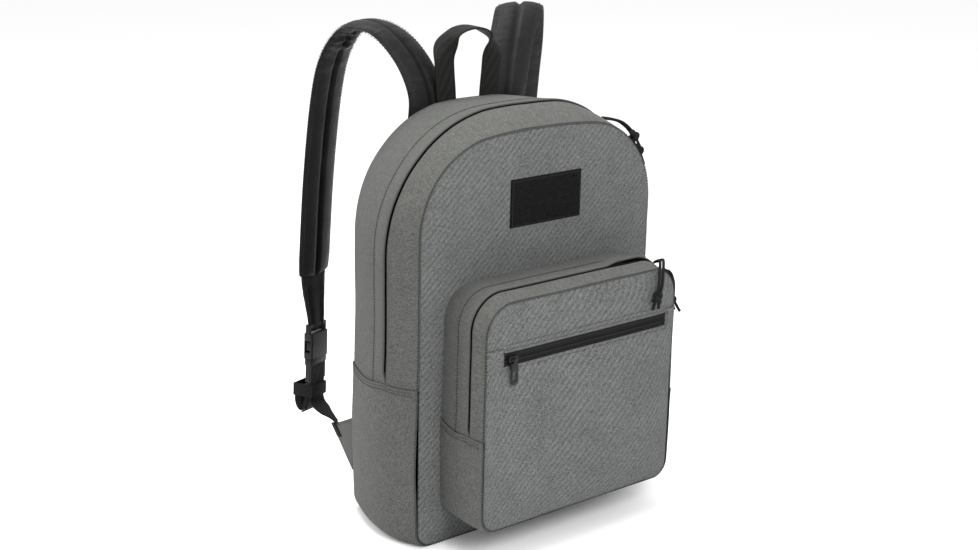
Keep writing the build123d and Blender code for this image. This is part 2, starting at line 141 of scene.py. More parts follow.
class Book:
    """The node tree of one material while it is written."""

    def __init__(self, name: str) -> None:
        """Starts an empty material of that name."""
        self.material = bpy.data.materials.new(name)
        self.material.use_nodes = True
        self.tree = self.material.node_tree
        self.tree.nodes.clear()

    def node(self, kind: str, settings: Settings = None, inputs: Inputs = None) -> bpy.types.Node:
        """Adds any node.

        Args:
            kind: the node's type.
            settings: its properties, or "stops" for a ramp's colours, which are set first.
            inputs: numbers, colours, sockets or signals by socket name or place.

        Returns:
            The new node.
        """
        made = self.tree.nodes.new(kind)
        for key, value in (settings or {}).items():
            if key == "stops":
                while len(made.color_ramp.elements) < len(value):
                    made.color_ramp.elements.new(1.0)
                for element, (place, colour) in zip(made.color_ramp.elements, value):
                    element.position = place
                    element.color = (*colour, 1.0)
            else:
                setattr(made, key, value)
        for key, value in (inputs or {}).items():
            if isinstance(value, Signal):
                value = value.socket
            if isinstance(value, bpy.types.NodeSocket):
                self.tree.links.new(value, made.inputs[key])
            else:
                made.inputs[key].default_value = value
        return made

    def signal(
        self, kind: str, settings: Settings = None, inputs: Inputs = None, output: int | str = 0
    ) -> Signal:
        """Adds any node and wraps one of its outputs.

        Args:
            kind: the node's type.
            settings: as for node().
            inputs: as for node().
            output: name or place of the output.

        Returns:
            The output as a signal.
        """
        return Signal(self, self.node(kind, settings, inputs).outputs[output])

    def colour(self, share: Signal, low: Sequence[float], high: Sequence[float]) -> bpy.types.NodeSocket:
        """Mixes two colours by a signal.

        Args:
            share: 0 for the first colour, 1 for the second.
            low: first colour.
            high: second colour.

        Returns:
            The mixed colour's socket.
        """
        mixer = self.node("ShaderNodeMix", {"data_type": "RGBA"}, {0: share, 6: (*low, 1.0), 7: (*high, 1.0)})
        return mixer.outputs[2]

    def darkened(self, colour: bpy.types.NodeSocket, amount: Signal) -> bpy.types.NodeSocket:
        """Mixes a colour towards black.

        Args:
            colour: the colour's socket.
            amount: 0 leaves the colour, 1 makes it black.

        Returns:
            The darkened colour's socket.
        """
        black = (0.0, 0.0, 0.0, 1.0)
        mixer = self.node("ShaderNodeMix", {"data_type": "RGBA"}, {0: amount, 6: colour, 7: black})
        return mixer.outputs[2]

    def along(self, vector: bpy.types.NodeSocket) -> tuple[Signal, Signal, Signal]:
        """Splits a vector into its three signals."""
        parts = self.node("ShaderNodeSeparateXYZ", None, {0: vector})
        return tuple(Signal(self, output) for output in parts.outputs)

    def grain(self, vector: bpy.types.NodeSocket, scale: float, detail: float = 2.0) -> Signal:
        """Noise from 0 to 1.

        Args:
            vector: coordinates.
            scale: features per metre.
            detail: octaves.

        Returns:
            The noise.
        """
        inputs = {"Vector": vector, "Scale": scale, "Detail": detail, "Roughness": 0.55}
        return self.signal("ShaderNodeTexNoise", None, inputs, "Fac")

    def relief(self, height: Signal, distance: float, strength: float = 1.0) -> bpy.types.NodeSocket:
        """Bump normal from a height between 0 and 1.

        Args:
            height: the height.
            distance: how tall 1 is, in metres.
            strength: how much of it shows.

        Returns:
            The normal's socket.
        """
        inputs = {"Strength": strength, "Distance": distance, "Height": height}
        made = self.node("ShaderNodeBump", None, inputs)
        return made.outputs["Normal"]

    def finish(self, constants: dict[str, Any], links: dict[str, Any]) -> bpy.types.Material:
        """Closes the material with its shader.

        Args:
            constants: shader values that are the same all over.
            links: shader values that change over the surface.

        Returns:
            The material.
        """
        shader = self.node("ShaderNodeBsdfPrincipled", None, {**constants, **links})
        self.node("ShaderNodeOutputMaterial", None, {"Surface": shader.outputs[0]})
        return self.material


class Coordinates(Enum):
    """Where a pattern takes its place from."""

    SURFACE = "UV"
    OBJECT = "Object"


@dataclass(frozen=True)
class WovenCloth:
    """Plain woven cloth with thread speckle, slow mottling and painted shade darkening it in its seams, folds
    and creases.
    """

    name: str
    dark: Colour
    light: Colour
    pitch: float = 0.0009
    speckle: float = 0.5
    relief: float = 0.00022
    roughness: float = 0.86
    sheen: float = 0.03
    moire: float = 0.30
    source: Coordinates = Coordinates.SURFACE

    def material(self) -> bpy.types.Material:
        """Builds the cloth's material."""
        book = Book(self.name)
        place = book.node("ShaderNodeTexCoord").outputs[self.source.value]
        across, along, up = book.along(place)
        second = along if self.source is Coordinates.SURFACE else up
        turn = math.pi / self.pitch
        weave = (across * turn).sine() * (second * turn).sine() * 0.5 + 0.5
        cell = (self.pitch, self.pitch * 0.8, self.pitch)
        cells = book.node("ShaderNodeVectorMath", {"operation": "SNAP"}, {0: place, 1: cell})
        random = book.signal("ShaderNodeTexWhiteNoise", None, {"Vector": cells.outputs[0]}, "Value")
        fuzz = book.grain(place, 900.0)
        slow = book.grain(place, 14.0, 3.0)
        lines = ((across - second * 1.05) * (2 * math.pi / 0.0080)).sine() * 0.5 + 0.5
        patches = book.grain(place, 30.0, 1.0)
        share = random * self.speckle + fuzz * 0.3 + weave * 0.55 + slow * 0.1 + lines * patches * self.moire
        level = 0.5 - (self.speckle + 0.3 + 0.55 + 0.1 + self.moire * 0.5) / 2
        colour = book.colour(share + level, self.dark, self.light)
        # Painted shade: a per-vertex mesh attribute darkens the base colour in seams, folds and creases.
        crease = book.signal("ShaderNodeAttribute", {"attribute_name": "crease"}, None, "Fac")
        height = weave * 0.6 + random * 0.25 + fuzz * 0.4
        return book.finish(
            {"Sheen Weight": self.sheen, "Sheen Roughness": 0.5, "Specular IOR Level": 0.12},
            {
                "Base Color": book.darkened(colour, crease),
                "Roughness": random * 0.1 + (self.roughness - 0.05),
                "Normal": book.relief(height, self.relief),
            },
        )


@dataclass(frozen=True)
class RibbedTape:
    """Webbing, elastic or zipper tape: ribs across its length and lines along it."""

    name: str
    dark: Colour
    light: Colour
    rib: float = 0.0011
    line: float = 0.0028
    relief: float = 0.0004
    roughness: float = 0.62
    source: Coordinates = Coordinates.SURFACE

    def material(self) -> bpy.types.Material:
        """Builds the tape's material."""
        book = Book(self.name)
        place = book.node("ShaderNodeTexCoord").outputs[self.source.value]
        across, along, up = book.along(place)
        second = along if self.source is Coordinates.SURFACE else up
        ribs = (second * (2 * math.pi / self.rib)).sine() * 0.5 + 0.5
        lines = ((across + second * 0.2) * (2 * math.pi / self.line)).sine() * 0.5 + 0.5
        fuzz = book.grain(place, 1100.0)
        share = ribs * 0.35 + lines * 0.25 + fuzz * 0.5 - 0.05
        # Painted shade: the same mesh attribute darkens the tape in its folds, seams and grooves.
        crease = book.signal("ShaderNodeAttribute", {"attribute_name": "crease"}, None, "Fac")
        colour = book.darkened(book.colour(share, self.dark, self.light), crease)
        return book.finish(
            {"Specular IOR Level": 0.08},
            {
                "Base Color": colour,
                "Roughness": fuzz * 0.15 + (self.roughness - 0.07),
                "Normal": book.relief(ribs * 0.6 + lines * 0.3 + fuzz * 0.3, self.relief),
            },
        )


@dataclass(frozen=True)
class SmoothNylon:
    """Fine filament nylon of the shoulder straps, with a soft gloss and small puckers."""

    name: str
    dark: Colour
    light: Colour
    roughness: float = 0.46

    def material(self) -> bpy.types.Material:
        """Builds the nylon's material."""
        book = Book(self.name)
        place = book.node("ShaderNodeTexCoord").outputs["UV"]
        across, along, _ = book.along(place)
        twill = ((across + along) * (2 * math.pi / 0.0009)).sine() * 0.5 + 0.5
        pucker = book.grain(place, 70.0, 3.0)
        fuzz = book.grain(place, 1000.0)
        colour = book.colour(pucker * 0.5 + fuzz * 0.4 + twill * 0.15 - 0.05, self.dark, self.light)
        # Painted shade: the mesh attribute darkens the nylon down the pad's sewn channel.
        crease = book.signal("ShaderNodeAttribute", {"attribute_name": "crease"}, None, "Fac")
        height = pucker * 0.9 + twill * 0.06 + fuzz * 0.08
        return book.finish(
            {"Specular IOR Level": 0.16},
            {
                "Base Color": book.darkened(colour, crease),
                "Roughness": fuzz * 0.16 + (self.roughness - 0.08),
                "Normal": book.relief(height, 0.0009),
            },
        )


@dataclass(frozen=True)
class Moulded:
    """Moulded plastic or lacquered metal with fine grain."""

    name: str
    dark: Colour
    light: Colour
    roughness: float = 0.42
    metallic: float = 0.0
    grain: float = 900.0
    gloss: float = 0.22

    def material(self) -> bpy.types.Material:
        """Builds the moulded material."""
        book = Book(self.name)
        place = book.node("ShaderNodeTexCoord").outputs["Object"]
        fine = book.grain(place, self.grain)
        wear = book.grain(place, 60.0, 3.0)
        colour = book.colour(wear * 0.7 + fine * 0.3, self.dark, self.light)
        return book.finish(
            {"Metallic": self.metallic, "Specular IOR Level": self.gloss},
            {
                "Base Color": colour,
                "Roughness": wear * 0.16 + fine * 0.08 + (self.roughness - 0.12),
                "Normal": book.relief(fine, 0.00008),
            },
        )


@dataclass(frozen=True)
class Pile:
    """Fuzzy loop field: tiny bright loops over a black ground."""

    name: str

    def material(self) -> bpy.types.Material:
        """Builds the pile's material."""
        book = Book(self.name)
        place = book.node("ShaderNodeTexCoord").outputs["Object"]
        loops = book.signal("ShaderNodeTexVoronoi", None, {"Vector": place, "Scale": 800.0}, "Distance")
        fuzz = book.grain(place, 1500.0, 3.0)
        share = (1.0 - loops) * 0.45 + fuzz * 0.6 - 0.25
        colour = book.colour(share, (0.001, 0.001, 0.001), (0.024, 0.024, 0.024))
        return book.finish(
            {"Sheen Weight": 0.0, "Specular IOR Level": 0.04, "Roughness": 0.95},
            {"Base Color": colour, "Normal": book.relief((1.0 - loops) + fuzz, 0.0005)},
        )


@dataclass(frozen=True)
class Braid:
    """Braided sheath of a thin cord."""

    name: str
    dark: tuple[float, float, float] = (0.002, 0.002, 0.002)
    light: tuple[float, float, float] = (0.016, 0.016, 0.016)

    def material(self) -> bpy.types.Material:
        """Builds the braid's material."""
        book = Book(self.name)
        place = book.node("ShaderNodeTexCoord").outputs["Object"]
        across, along, up = book.along(place)
        one = ((across + along + up) * (2 * math.pi / 0.0017)).sine()
        two = ((across + along - up) * (2 * math.pi / 0.0017)).sine()
        strands = one * two * 0.5 + 0.5
        fuzz = book.grain(place, 1200.0)
        colour = book.colour(strands * 0.5 + fuzz * 0.5, self.dark, self.light)
        return book.finish(
            {"Roughness": 0.7, "Specular IOR Level": 0.08},
            {"Base Color": colour, "Normal": book.relief(strands + fuzz * 0.5, 0.0003)},
        )


def grey(level: float) -> Colour:
    """Neutral colour of one level."""
    return (level, level, level)


class Finishes:
    """Every finish of the pack, built once."""

    def __init__(self) -> None:
        """Builds the materials."""
        self.pack = WovenCloth("pack_cloth", (0.010, 0.011, 0.010), (0.164, 0.169, 0.166)).material()
        # Same cloth as the panels, made darker as painted shade of the gussets on the bag's sides, and with
        # fainter moire.
        self.gusset = WovenCloth(
            "gusset_cloth", (0.020, 0.021, 0.020), (0.120, 0.123, 0.114), speckle=0.45, moire=0.03
        ).material()
        self.back = WovenCloth(
            "back_mesh", grey(0.003), (0.022, 0.022, 0.023), pitch=0.0024, relief=0.0008
        ).material()
        self.lining = WovenCloth(
            "lining_cloth", grey(0.03), grey(0.07), source=Coordinates.OBJECT
        ).material()
        self.zipper = RibbedTape(
            "zipper_tape", grey(0.002), grey(0.026), source=Coordinates.OBJECT
        ).material()
        self.coil = Moulded("zipper_coil", grey(0.003), grey(0.012), roughness=0.4).material()
        self.webbing = RibbedTape("webbing", grey(0.001), (0.022, 0.022, 0.021)).material()
        self.elastic = RibbedTape("elastic", grey(0.001), grey(0.013), rib=0.0015).material()
        self.strap = SmoothNylon(
            "strap_nylon", (0.0015, 0.0015, 0.0016), (0.015, 0.015, 0.0156)
        ).material()
        self.strap_end = SmoothNylon(
            "strap_end_nylon", grey(0.0005), grey(0.006), roughness=0.6
        ).material()
        self.plastic = Moulded("buckle_plastic", grey(0.003), grey(0.010), roughness=0.36).material()
        self.metal = Moulded(
            "slider_metal", grey(0.003), grey(0.016), roughness=0.36, metallic=0.2
        ).material()
        self.pile = Pile("loop_pile").material()
        self.cord = Braid("cord_braid").material()
        self.thread_dark = Moulded(
            "dark_thread", grey(0.006), grey(0.02), roughness=0.7, gloss=0.1
        ).material()
        self.thread_grey = Moulded(
            "grey_thread", (0.020, 0.020, 0.019), (0.05, 0.05, 0.048), roughness=0.75, gloss=0.1
        ).material()
        self.thread_black = Moulded("black_thread", grey(0.004), grey(0.03), roughness=0.6).material()


# ---------------------------------------------------------------------------------------------
# Shape building
# ---------------------------------------------------------------------------------------------


@dataclass(frozen=True)
class Outline:
    """Closed outline in an X-Z plane: flat base, rounded feet, straight sides, corner arcs and a crown."""

    width: float
    low: float
    high: float
    corner: float
    foot: float
    crown: float

    def blended(self, other: "Outline", share: float) -> "Outline":
        """Outline between this one and another.

        Args:
            other: the outline at share 1.
            share: how far towards it.

        Returns:
            The mixed outline.
        """
        mine, theirs = vars(self).values(), vars(other).values()
        return Outline(*(mix(a, b, share) for a, b in zip(mine, theirs)))

    @lru_cache(maxsize=None)
    def corner_centre(self) -> tuple[float, float, float]:
        """Centre of the right corner arc, and the angle at which the crown's arc takes over."""
        centre_x = self.width / 2 - self.corner
        reach = self.crown - self.corner
        lean = math.asin(centre_x / reach)
        return centre_x, self.high - self.crown + reach * math.cos(lean), lean

    @lru_cache(maxsize=None)
    def stretches(self) -> tuple[float, ...]:
        """Lengths of one half's base, foot, side, corner and crown."""
        _, centre_z, lean = self.corner_centre()
        return (
            self.width / 2 - self.foot,
            math.pi / 2 * self.foot,
            centre_z - self.low - self.foot,
            self.corner * (math.pi / 2 - lean),
            self.crown * lean,
        )

    @lru_cache(maxsize=None)
    def half_length(self) -> float:
        """Length from the middle of the base to the middle of the crown."""
        return sum(self.stretches())

    def side_share(self, height: float) -> float:
        """Share of the outline at which its right side has that height."""
        base, foot, *_ = self.stretches()
        return (base + foot + height - self.low - self.foot) / self.half_length() / 2

    def point(self, share: float) -> tuple[Vector, Vector]:
        """Place and outward direction on the outline.

        Args:
            share: 0 at the middle of the base, 0.5 at the top, rising on the +X side, any whole turn added.

        Returns:
            The point and the unit normal, both with Y at 0.
        """
        share = (share + 0.5) % 1.0 - 0.5
        side = -1.0 if share < 0 else 1.0
        run = abs(share) * 2 * self.half_length()
        half = self.width / 2
        centre_x, centre_z, lean = self.corner_centre()
        base, foot, straight, corner, _ = self.stretches()
        if run < base:
            return Vector((side * run, 0, self.low)), Vector((0, 0, -1))
        run -= base
        if run < foot:
            centre, radius = (half - self.foot, self.low + self.foot), self.foot
            angle = run / self.foot - math.pi / 2
        elif run - foot < straight:
            return Vector((side * half, 0, self.low + self.foot + run - foot)), Vector((side, 0, 0))
        elif run - foot - straight < corner:
            centre, radius, angle = (centre_x, centre_z), self.corner, (run - foot - straight) / self.corner
        else:
            centre, radius = (0.0, self.high - self.crown), self.crown
            angle = math.pi / 2 - lean + (run - foot - straight - corner) / self.crown
        normal = Vector((math.cos(angle), 0, math.sin(angle)))
        place = Vector((centre[0], 0, centre[1])) + normal * radius
        return Vector((side * place.x, 0, place.z)), Vector((side * normal.x, 0, normal.z))


@dataclass(frozen=True)
class Form:
    """Soft box: three outlines at three depths, joined by eased curves, with a slump near its base."""

    front: tuple[float, Outline]
    middle: tuple[float, Outline]
    back: tuple[float, Outline]
    slump: float = 0.0
    slump_height: float = 0.09
    ripple: float = 0.0007
    seed: float = 0.0

    @lru_cache(maxsize=None)
    def outline(self, y: float) -> Outline:
        """Outline at a depth."""
        if y <= self.middle[0]:
            share = (y - self.front[0]) / (self.middle[0] - self.front[0])
            return self.front[1].blended(self.middle[1], math.sin(math.pi / 2 * max(0.0, share)))
        share = (y - self.middle[0]) / (self.back[0] - self.middle[0])
        return self.middle[1].blended(self.back[1], 1 - math.cos(math.pi / 2 * min(1.0, share)))

    def at(self, share: float, y: float, lift: float = 0.0) -> Vector:
        """Point of the form's skin.

        Args:
            share: place around the outline, as Outline.point takes it.
            y: depth.
            lift: height over the skin.

        Returns:
            The point, with the slump and the cloth's ripple added.
        """
        place, normal = self.outline(y).point(share)
        wide = 1 + self.slump * math.exp(-(((place.z - self.slump_height) / 0.075) ** 2))
        spot = Vector((place.x * wide, y, place.z))
        wave = noise.noise(spot / 0.07 + Vector((self.seed, 0, 0))) + 0.5 * noise.noise(spot / 0.033)
        calm = smooth(spot.z / 0.02)
        return spot + normal * (lift + wave * self.ripple * calm)


def finish_mesh(
    mesh: bmesh.types.BMesh, name: str, body: str | None, inside: Vector | None = None
) -> bpy.types.Object:
    """Turns a finished bmesh into a smooth piece that rides on a body.

    Args:
        mesh: the shape, which is freed.
        name: the piece's name.
        body: the body that it rides on, or None for a piece that is blended between two.
        inside: for an open sheet, a point behind it, so that its faces point away from there.

    Returns:
        The new object.
    """
    bmesh.ops.remove_doubles(mesh, verts=mesh.verts, dist=MERGE)
    bmesh.ops.dissolve_degenerate(mesh, dist=MERGE, edges=mesh.edges)
    bmesh.ops.recalc_face_normals(mesh, faces=mesh.faces)
    if inside is not None:
        facing = sum(
            (face.calc_center_median() - inside).dot(face.normal) * face.calc_area() for face in mesh.faces
        )
        if facing < 0:
            bmesh.ops.reverse_faces(mesh, faces=mesh.faces)
    data = bpy.data.meshes.new(name)
    mesh.to_mesh(data)
    mesh.free()
    data.shade_smooth()
    piece = bpy.data.objects.new(name, data)
    bpy.context.scene.collection.objects.link(piece)
    if body:
        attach(piece, body)
    return piece


def woven_sheet(
    cells: tuple[int, int], size: tuple[float, float], place: Place, crease: Shade | None = None
) -> bmesh.types.BMesh:
    """Grid laid over a surface, with its cloth coordinates in metres.

    Args:
        cells: number of cells along u and v.
        size: the cloth's length along u and v.
        place: the surface's point for u and v from 0 to 1.
        crease: painted shade, how much the cloth is darkened there, from 0 to 1.

    Returns:
        The laid grid.
    """
    mesh = bmesh.new()
    bmesh.ops.create_grid(mesh, x_segments=cells[0], y_segments=cells[1], size=1)
    cloth = mesh.loops.layers.uv.new("cloth")
    # Per-vertex painted shade, which the materials read to darken the cloth.
    shade = mesh.verts.layers.float.new("crease")
    for face in mesh.faces:
        for loop in face.loops:
            spot = loop.vert.co
            loop[cloth].uv = ((spot.x + 1) / 2 * size[0], (spot.y + 1) / 2 * size[1])
    for vert in mesh.verts:
        u, v = (vert.co.x + 1) / 2, (vert.co.y + 1) / 2
        if crease:
            vert[shade] = crease(u, v)
        vert.co = place(u, v)
    return mesh


def thicken(piece: bpy.types.Object, thickness: float, offset: float = -1.0) -> bpy.types.Object:
    """Gives a sheet its cloth's thickness, inwards unless the offset says otherwise."""
    wall = piece.modifiers.new("cloth_thickness", "SOLIDIFY")
    wall.thickness = thickness
    wall.offset = offset
    return piece


def dress(piece: bpy.types.Object, material: bpy.types.Material, slot: str, *nodes: str) -> bpy.types.Object:
    """Gives a piece its finish and hides the CAD nodes that it stands for.

    Args:
        piece: the piece.
        material: its finish.
        slot: the record's material slot; not used.
        nodes: CAD nodes that it replaces.

    Returns:
        The same piece.
    """
    piece.data.materials.clear()
    piece.data.materials.append(material)
    if nodes:
        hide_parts(*nodes)
    LOG.info("%s is dressed as %s", piece.name, material.name)
    return piece


def stitch_line(
    name: str,
    body: str | None,
    line: Sequence[tuple[Vector, Vector]],
    pitch: float = 0.0033,
    length: float = 0.0024,
    radius: float = 0.00034,
) -> bpy.types.Object:
    """Row of sewn stitches along a line.

    Args:
        name: the piece's name.
        body: the body that it rides on.
        line: points and surface normals, close together.
        pitch: distance from stitch to stitch.
        length: length of one stitch.
        radius: half of its thickness.

    Returns:
        The row as one piece.
    """
    mesh = bmesh.new()
    travelled, due = 0.0, pitch / 2
    for (start, normal), (end, _) in zip(line, line[1:]):
        step = (end - start).length
        while step > 0 and travelled + step >= due:
            spot = start.lerp(end, (due - travelled) / step)
            along = (end - start).normalized()
            side = along.cross(normal).normalized()
            turn = Matrix((along, side, side.cross(along))).transposed().to_4x4()
            sizes = Matrix.Diagonal((length / 2, radius * 1.25, radius, 1))
            bmesh.ops.create_uvsphere(
                mesh, u_segments=6, v_segments=4, radius=1, matrix=Matrix.Translation(spot) @ turn @ sizes
            )
            due += pitch
        travelled += step
    return finish_mesh(mesh, name, body)


def refined(
    node: str, name: str, body: str, width: float, segments: int = 2, angle: float = 30.0
) -> bpy.types.Object:
    """Copy of a CAD node with its sharp edges rounded off.

    Args:
        node: the CAD node.
        name: the new piece's name.
        body: the body that it rides on.
        width: width of the rounding.
        segments: its facets.
        angle: edges turning more than this many degrees are rounded.

    Returns:
        The new piece.
    """
    mesh = bmesh.new()
    mesh.from_mesh(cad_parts[node].data)
    bmesh.ops.remove_doubles(mesh, verts=mesh.verts, dist=MERGE)
    bmesh.ops.dissolve_limit(
        mesh, angle_limit=math.radians(3), use_dissolve_boundaries=False, verts=mesh.verts,
        edges=mesh.edges, delimit={"NORMAL"},
    )
    limit = math.radians(angle)
    sharp = [edge for edge in mesh.edges if len(edge.link_faces) == 2 and edge.calc_face_angle() > limit]
    bmesh.ops.bevel(
        mesh, geom=sharp, offset=width, offset_type="OFFSET", segments=segments, profile=0.5, affect="EDGES",
        clamp_overlap=True, material=-1,
    )
    return finish_mesh(mesh, name, body)


def closed_tube(name: str, points: Sequence[Vector], radius: float, body: str) -> bpy.types.Object:
    """Round tube along a smooth line that closes on itself, as a mesh.

    Args:
        name: the piece's name.
        points: control points of the line.
        radius: the tube's radius.
        body: the body that it rides on.

    Returns:
        The tube.
    """
    curve = bpy.data.curves.new(f"{name}_line", "CURVE")
    curve.dimensions = "3D"
    curve.bevel_depth = radius
    curve.bevel_resolution = 3
    curve.resolution_u = 8
    spline = curve.splines.new("NURBS")
    spline.points.add(len(points) - 1)
    for target, point in zip(spline.points, points):
        target.co = (*point, 1.0)
    spline.order_u = 4
    spline.use_cyclic_u = True
    source = bpy.data.objects.new(f"{name}_source", curve)
    bpy.context.scene.collection.objects.link(source)
    bpy.context.view_layer.update()
    data = bpy.data.meshes.new_from_object(source)
    bpy.data.objects.remove(source)
    mesh = bmesh.new()
    mesh.from_mesh(data)
    return finish_mesh(mesh, name, body)


def spaced(start: float, end: float, count: int) -> list[float]:
    """That many equal steps from start to end, with both ends."""
    return [mix(start, end, step / count) for step in range(count + 1)]


def steps(start: float, end: float, size: float) -> list[float]:
    """Evenly spaced numbers from start to end, no further apart than size, with both ends."""
    return spaced(start, end, max(1, math.ceil(abs(end - start) / size)))


Profile = list[tuple[float, float, float]]


def dipped(seam: float, towards: float, crease: float = 0.4) -> Profile:
    """Rows of a skin next to a sewn seam.

    Args:
        seam: depth of the seam.
        towards: 1 if the skin lies at greater depths, -1 if at lesser.
        crease: how much painted shade darkens the seam's bottom.

    Returns:
        Rows of (depth, lift, painted shade), starting in the seam.
    """
    # Painted shade, deepest at the seam's bottom.
    lowest = -SEAM_DIP[0][1]
    return [(seam + towards * distance, lift, crease * -lift / lowest) for distance, lift in SEAM_DIP]


def folded(edge: float, towards: float, radius: float, under: float, lift: float) -> Profile:
    """Rows round a folded cloth edge, from its upper side to the hem beneath it.

    Args:
        edge: depth of the fold's outermost line.
        towards: 1 if the cloth lies at greater depths than its edge, -1 if at lesser.
        radius: radius of the fold.
        under: how far the hem reaches back.
        lift: height of the upper side.

    Returns:
        Rows of (depth, lift, painted shade).
    """
    # Painted shade grows round the fold towards its underside, and the hem beneath is painted dark.
    rows = []
    for step in range(7):
        angle = math.pi / 2 - math.pi * step / 6
        reach, rise = radius * (1 - math.cos(angle)), radius * math.sin(angle)
        rows.append((edge + towards * reach, lift - radius + rise, 0.09 * step))
    rows.append((edge + towards * under, lift - 2 * radius, 0.8))
    return rows


@dataclass(frozen=True)
class Window:
    """Stretch of an outline along which a flap is drawn back from its zipper."""

    start: float
    end: float
    ease: float
    back: float
    rise: float

    def at(self, share: float) -> float:
        """How fully the flap is drawn back there, from 0 to 1."""
        return hump(share, self.start, self.end, self.ease)


@dataclass
class Bag:
    """Sewn box with a zipper round its top: gussets, a lower gusset and its seams."""

    form: Form
    prefix: str
    cloth: bpy.types.Material
    finishes: Finishes
    seam_heights: tuple[float, float, float]
    groove: float
    flap_cover: float
    window: Window
    step: float = 0.004

    def seam_height(self, y: float) -> float:
        """Height of the lower gusset's top edge at a depth, slightly hollow between its ends."""
        front, middle, back = self.form.front[0], self.form.middle[0], self.form.back[0]
        low, centre, high = self.seam_heights
        if y < middle:
            share = (y - front) / (middle - front)
            return mix(low, centre, share) - 0.0008 * math.sin(math.pi * share)
        share = min(1.0, (y - middle) / (back - middle))
        return mix(centre, high, share) - 0.004 * math.sin(math.pi * share)

    def upper_share(self, u: float, y: float, below: float = 0.007) -> float:
        """Share of the outline on the upper gussets, which start a little under the lower gusset's edge."""
        first = self.form.outline(y).side_share(self.seam_height(y) - below)
        return first + (1 - 2 * first) * u

    def upper_skin(
        self, name: str, rows: Callable[[float], Profile], count: int, node: str
    ) -> bpy.types.Object:
        """Skin that runs up one side, over the top and down the other.

        Args:
            name: the piece's name.
            rows: gives the rows of (depth, lift, painted shade) at a share of the outline.
            count: how many rows there are.
            node: the CAD node that it stands for.

        Returns:
            The skin.
        """
        length = 2 * self.form.middle[1].half_length()
        cells = (math.ceil(length * 0.78 / self.step), count - 1)

        rows_at = lru_cache(maxsize=None)(rows)

        def row(u: float, v: float) -> tuple[float, float, float]:
            return rows_at(round(u, 6))[round(v * (count - 1))]

        def place(u: float, v: float) -> Vector:
            y, lift, _ = row(u, v)
            return self.form.at(self.upper_share(u, y), y, lift)

        depth = abs(rows(0.5)[0][0] - rows(0.5)[-1][0])
        mesh = woven_sheet(cells, (length * 0.78, depth), place, lambda u, v: row(u, v)[2])
        inside = Vector((0, self.form.middle[0], self.form.middle[1].high / 2))
        piece = finish_mesh(mesh, name, "pack", inside)
        return dress(thicken(piece, 0.0007), self.cloth, "pack_cloth", node)

    def rear_rows(self, u: float) -> Profile:
        """Rows of the rear gusset: back seam, body, storm flap, fold and hem."""
        share = self.upper_share(u, self.form.middle[0])
        open_share = self.window.at(share)
        edge = self.form.middle[0] - self.flap_cover + self.window.back * open_share
        tucked = smooth(min(u, 1 - u) * 45 - 0.35)
        lift = 0.0006 + 0.0022 * tucked + self.window.rise * open_share
        edge -= 0.0015 * (1 - tucked)
        back = self.form.back[0]
        rows = dipped(back, -1)
        rows += [(y, 0.0, 0.0) for y in spaced(back - 0.007, edge + 0.026, 12)[:-1]]
        rise_from = edge + 0.026
        for share_up in (0.0, 0.2, 0.35, 0.5, 0.65, 0.8, 0.92):
            y = mix(rise_from, edge + 0.0012, share_up)
            rows.append((y, lift * smooth(share_up) ** 1.3, 0.0))
        return rows + folded(edge, 1, 0.0011, 0.009, lift)

    def front_rows(self, u: float) -> Profile:
        """Rows of the front gusset: front seam, body and the turned-in edge beside the zipper."""
        front = self.form.front[0]
        edge = self.form.middle[0] - self.groove / 2
        rows = dipped(front, 1)
        rows += [(y, 0.0, 0.0) for y in steps(front + 0.007, edge - 0.008, 0.0045)]
        rows += [(edge - 0.004, 0.0005, 0.0), (edge - 0.0015, 0.0006, 0.0)]
        return rows + folded(edge, -1, 0.0009, 0.006, 0.0006)

    def make_upper(self) -> None:
        """Builds the front and rear gussets."""
        for kind, rows in (("rear_gusset", self.rear_rows), ("front_gusset", self.front_rows)):
            node = f"{self.prefix}{kind}"
            self.upper_skin(f"{node}_skin", rows, len(rows(0.5)), node)

    def lower_columns(self) -> list[tuple[float, float, float, float]]:
        """Columns of the lower gusset's right half, from its hem to the middle of the base.

        Returns:
            Columns of (distance under the top edge, share of the rest, lift, painted shade).
        """
        # Painted shadow: the hem columns hidden under the fold are painted dark, and the fold's rows darken
        # towards its underside.
        columns = [(0.009, 0.0, -0.0002, 0.8), (0.004, 0.0, -0.0002, 0.8)]
        for step in range(7):
            angle = -math.pi / 2 + math.pi * step / 6
            crease = 0.15 * (6 - step)
            columns.append((0.0009 * (1 - math.cos(angle)), 0.0, 0.0008 + 0.0011 * math.sin(angle), crease))
        columns += [(0.003, 0.0, 0.0018, 0.0), (0.007, 0.0, 0.0013, 0.0), (0.013, 0.0, 0.0009, 0.0)]
        columns += [(0.013, share, 0.0008, 0.0) for share in steps(0.0, 1.0, 0.016)[1:]]
        return columns

    def make_lower(self, node: str) -> bpy.types.Object:
        """Builds the lower gusset, which wraps the base and both sides up to its folded edge.

        Args:
            node: the CAD node that it stands for.

        Returns:
            The skin.
        """
        half = self.lower_columns()
        columns = [(side, *column) for side, part in ((1, half), (-1, half[-2::-1])) for column in part]
        front, back = self.form.front[0], self.form.back[0]
        rows = dipped(front, 1) + [(y, 0.0, 0.0) for y in steps(front + 0.007, back - 0.007, 0.0045)]
        rows += dipped(back, -1)[::-1]

        def place(u: float, v: float) -> Vector:
            side, distance, rest, lift, _ = columns[round(u * (len(columns) - 1))]
            y, dip, _ = rows[round(v * (len(rows) - 1))]
            outline = self.form.outline(y)
            top = outline.side_share(self.seam_height(y)) - distance / outline.half_length() / 2
            point = self.form.at(side * top * (1 - rest), y, lift + dip)
            point.z = max(point.z, 0.0002)
            return point

        # Painted shade of the fold and of the sewn seams.
        def crease(u: float, v: float) -> float:
            return max(columns[round(u * (len(columns) - 1))][4], rows[round(v * (len(rows) - 1))][2])

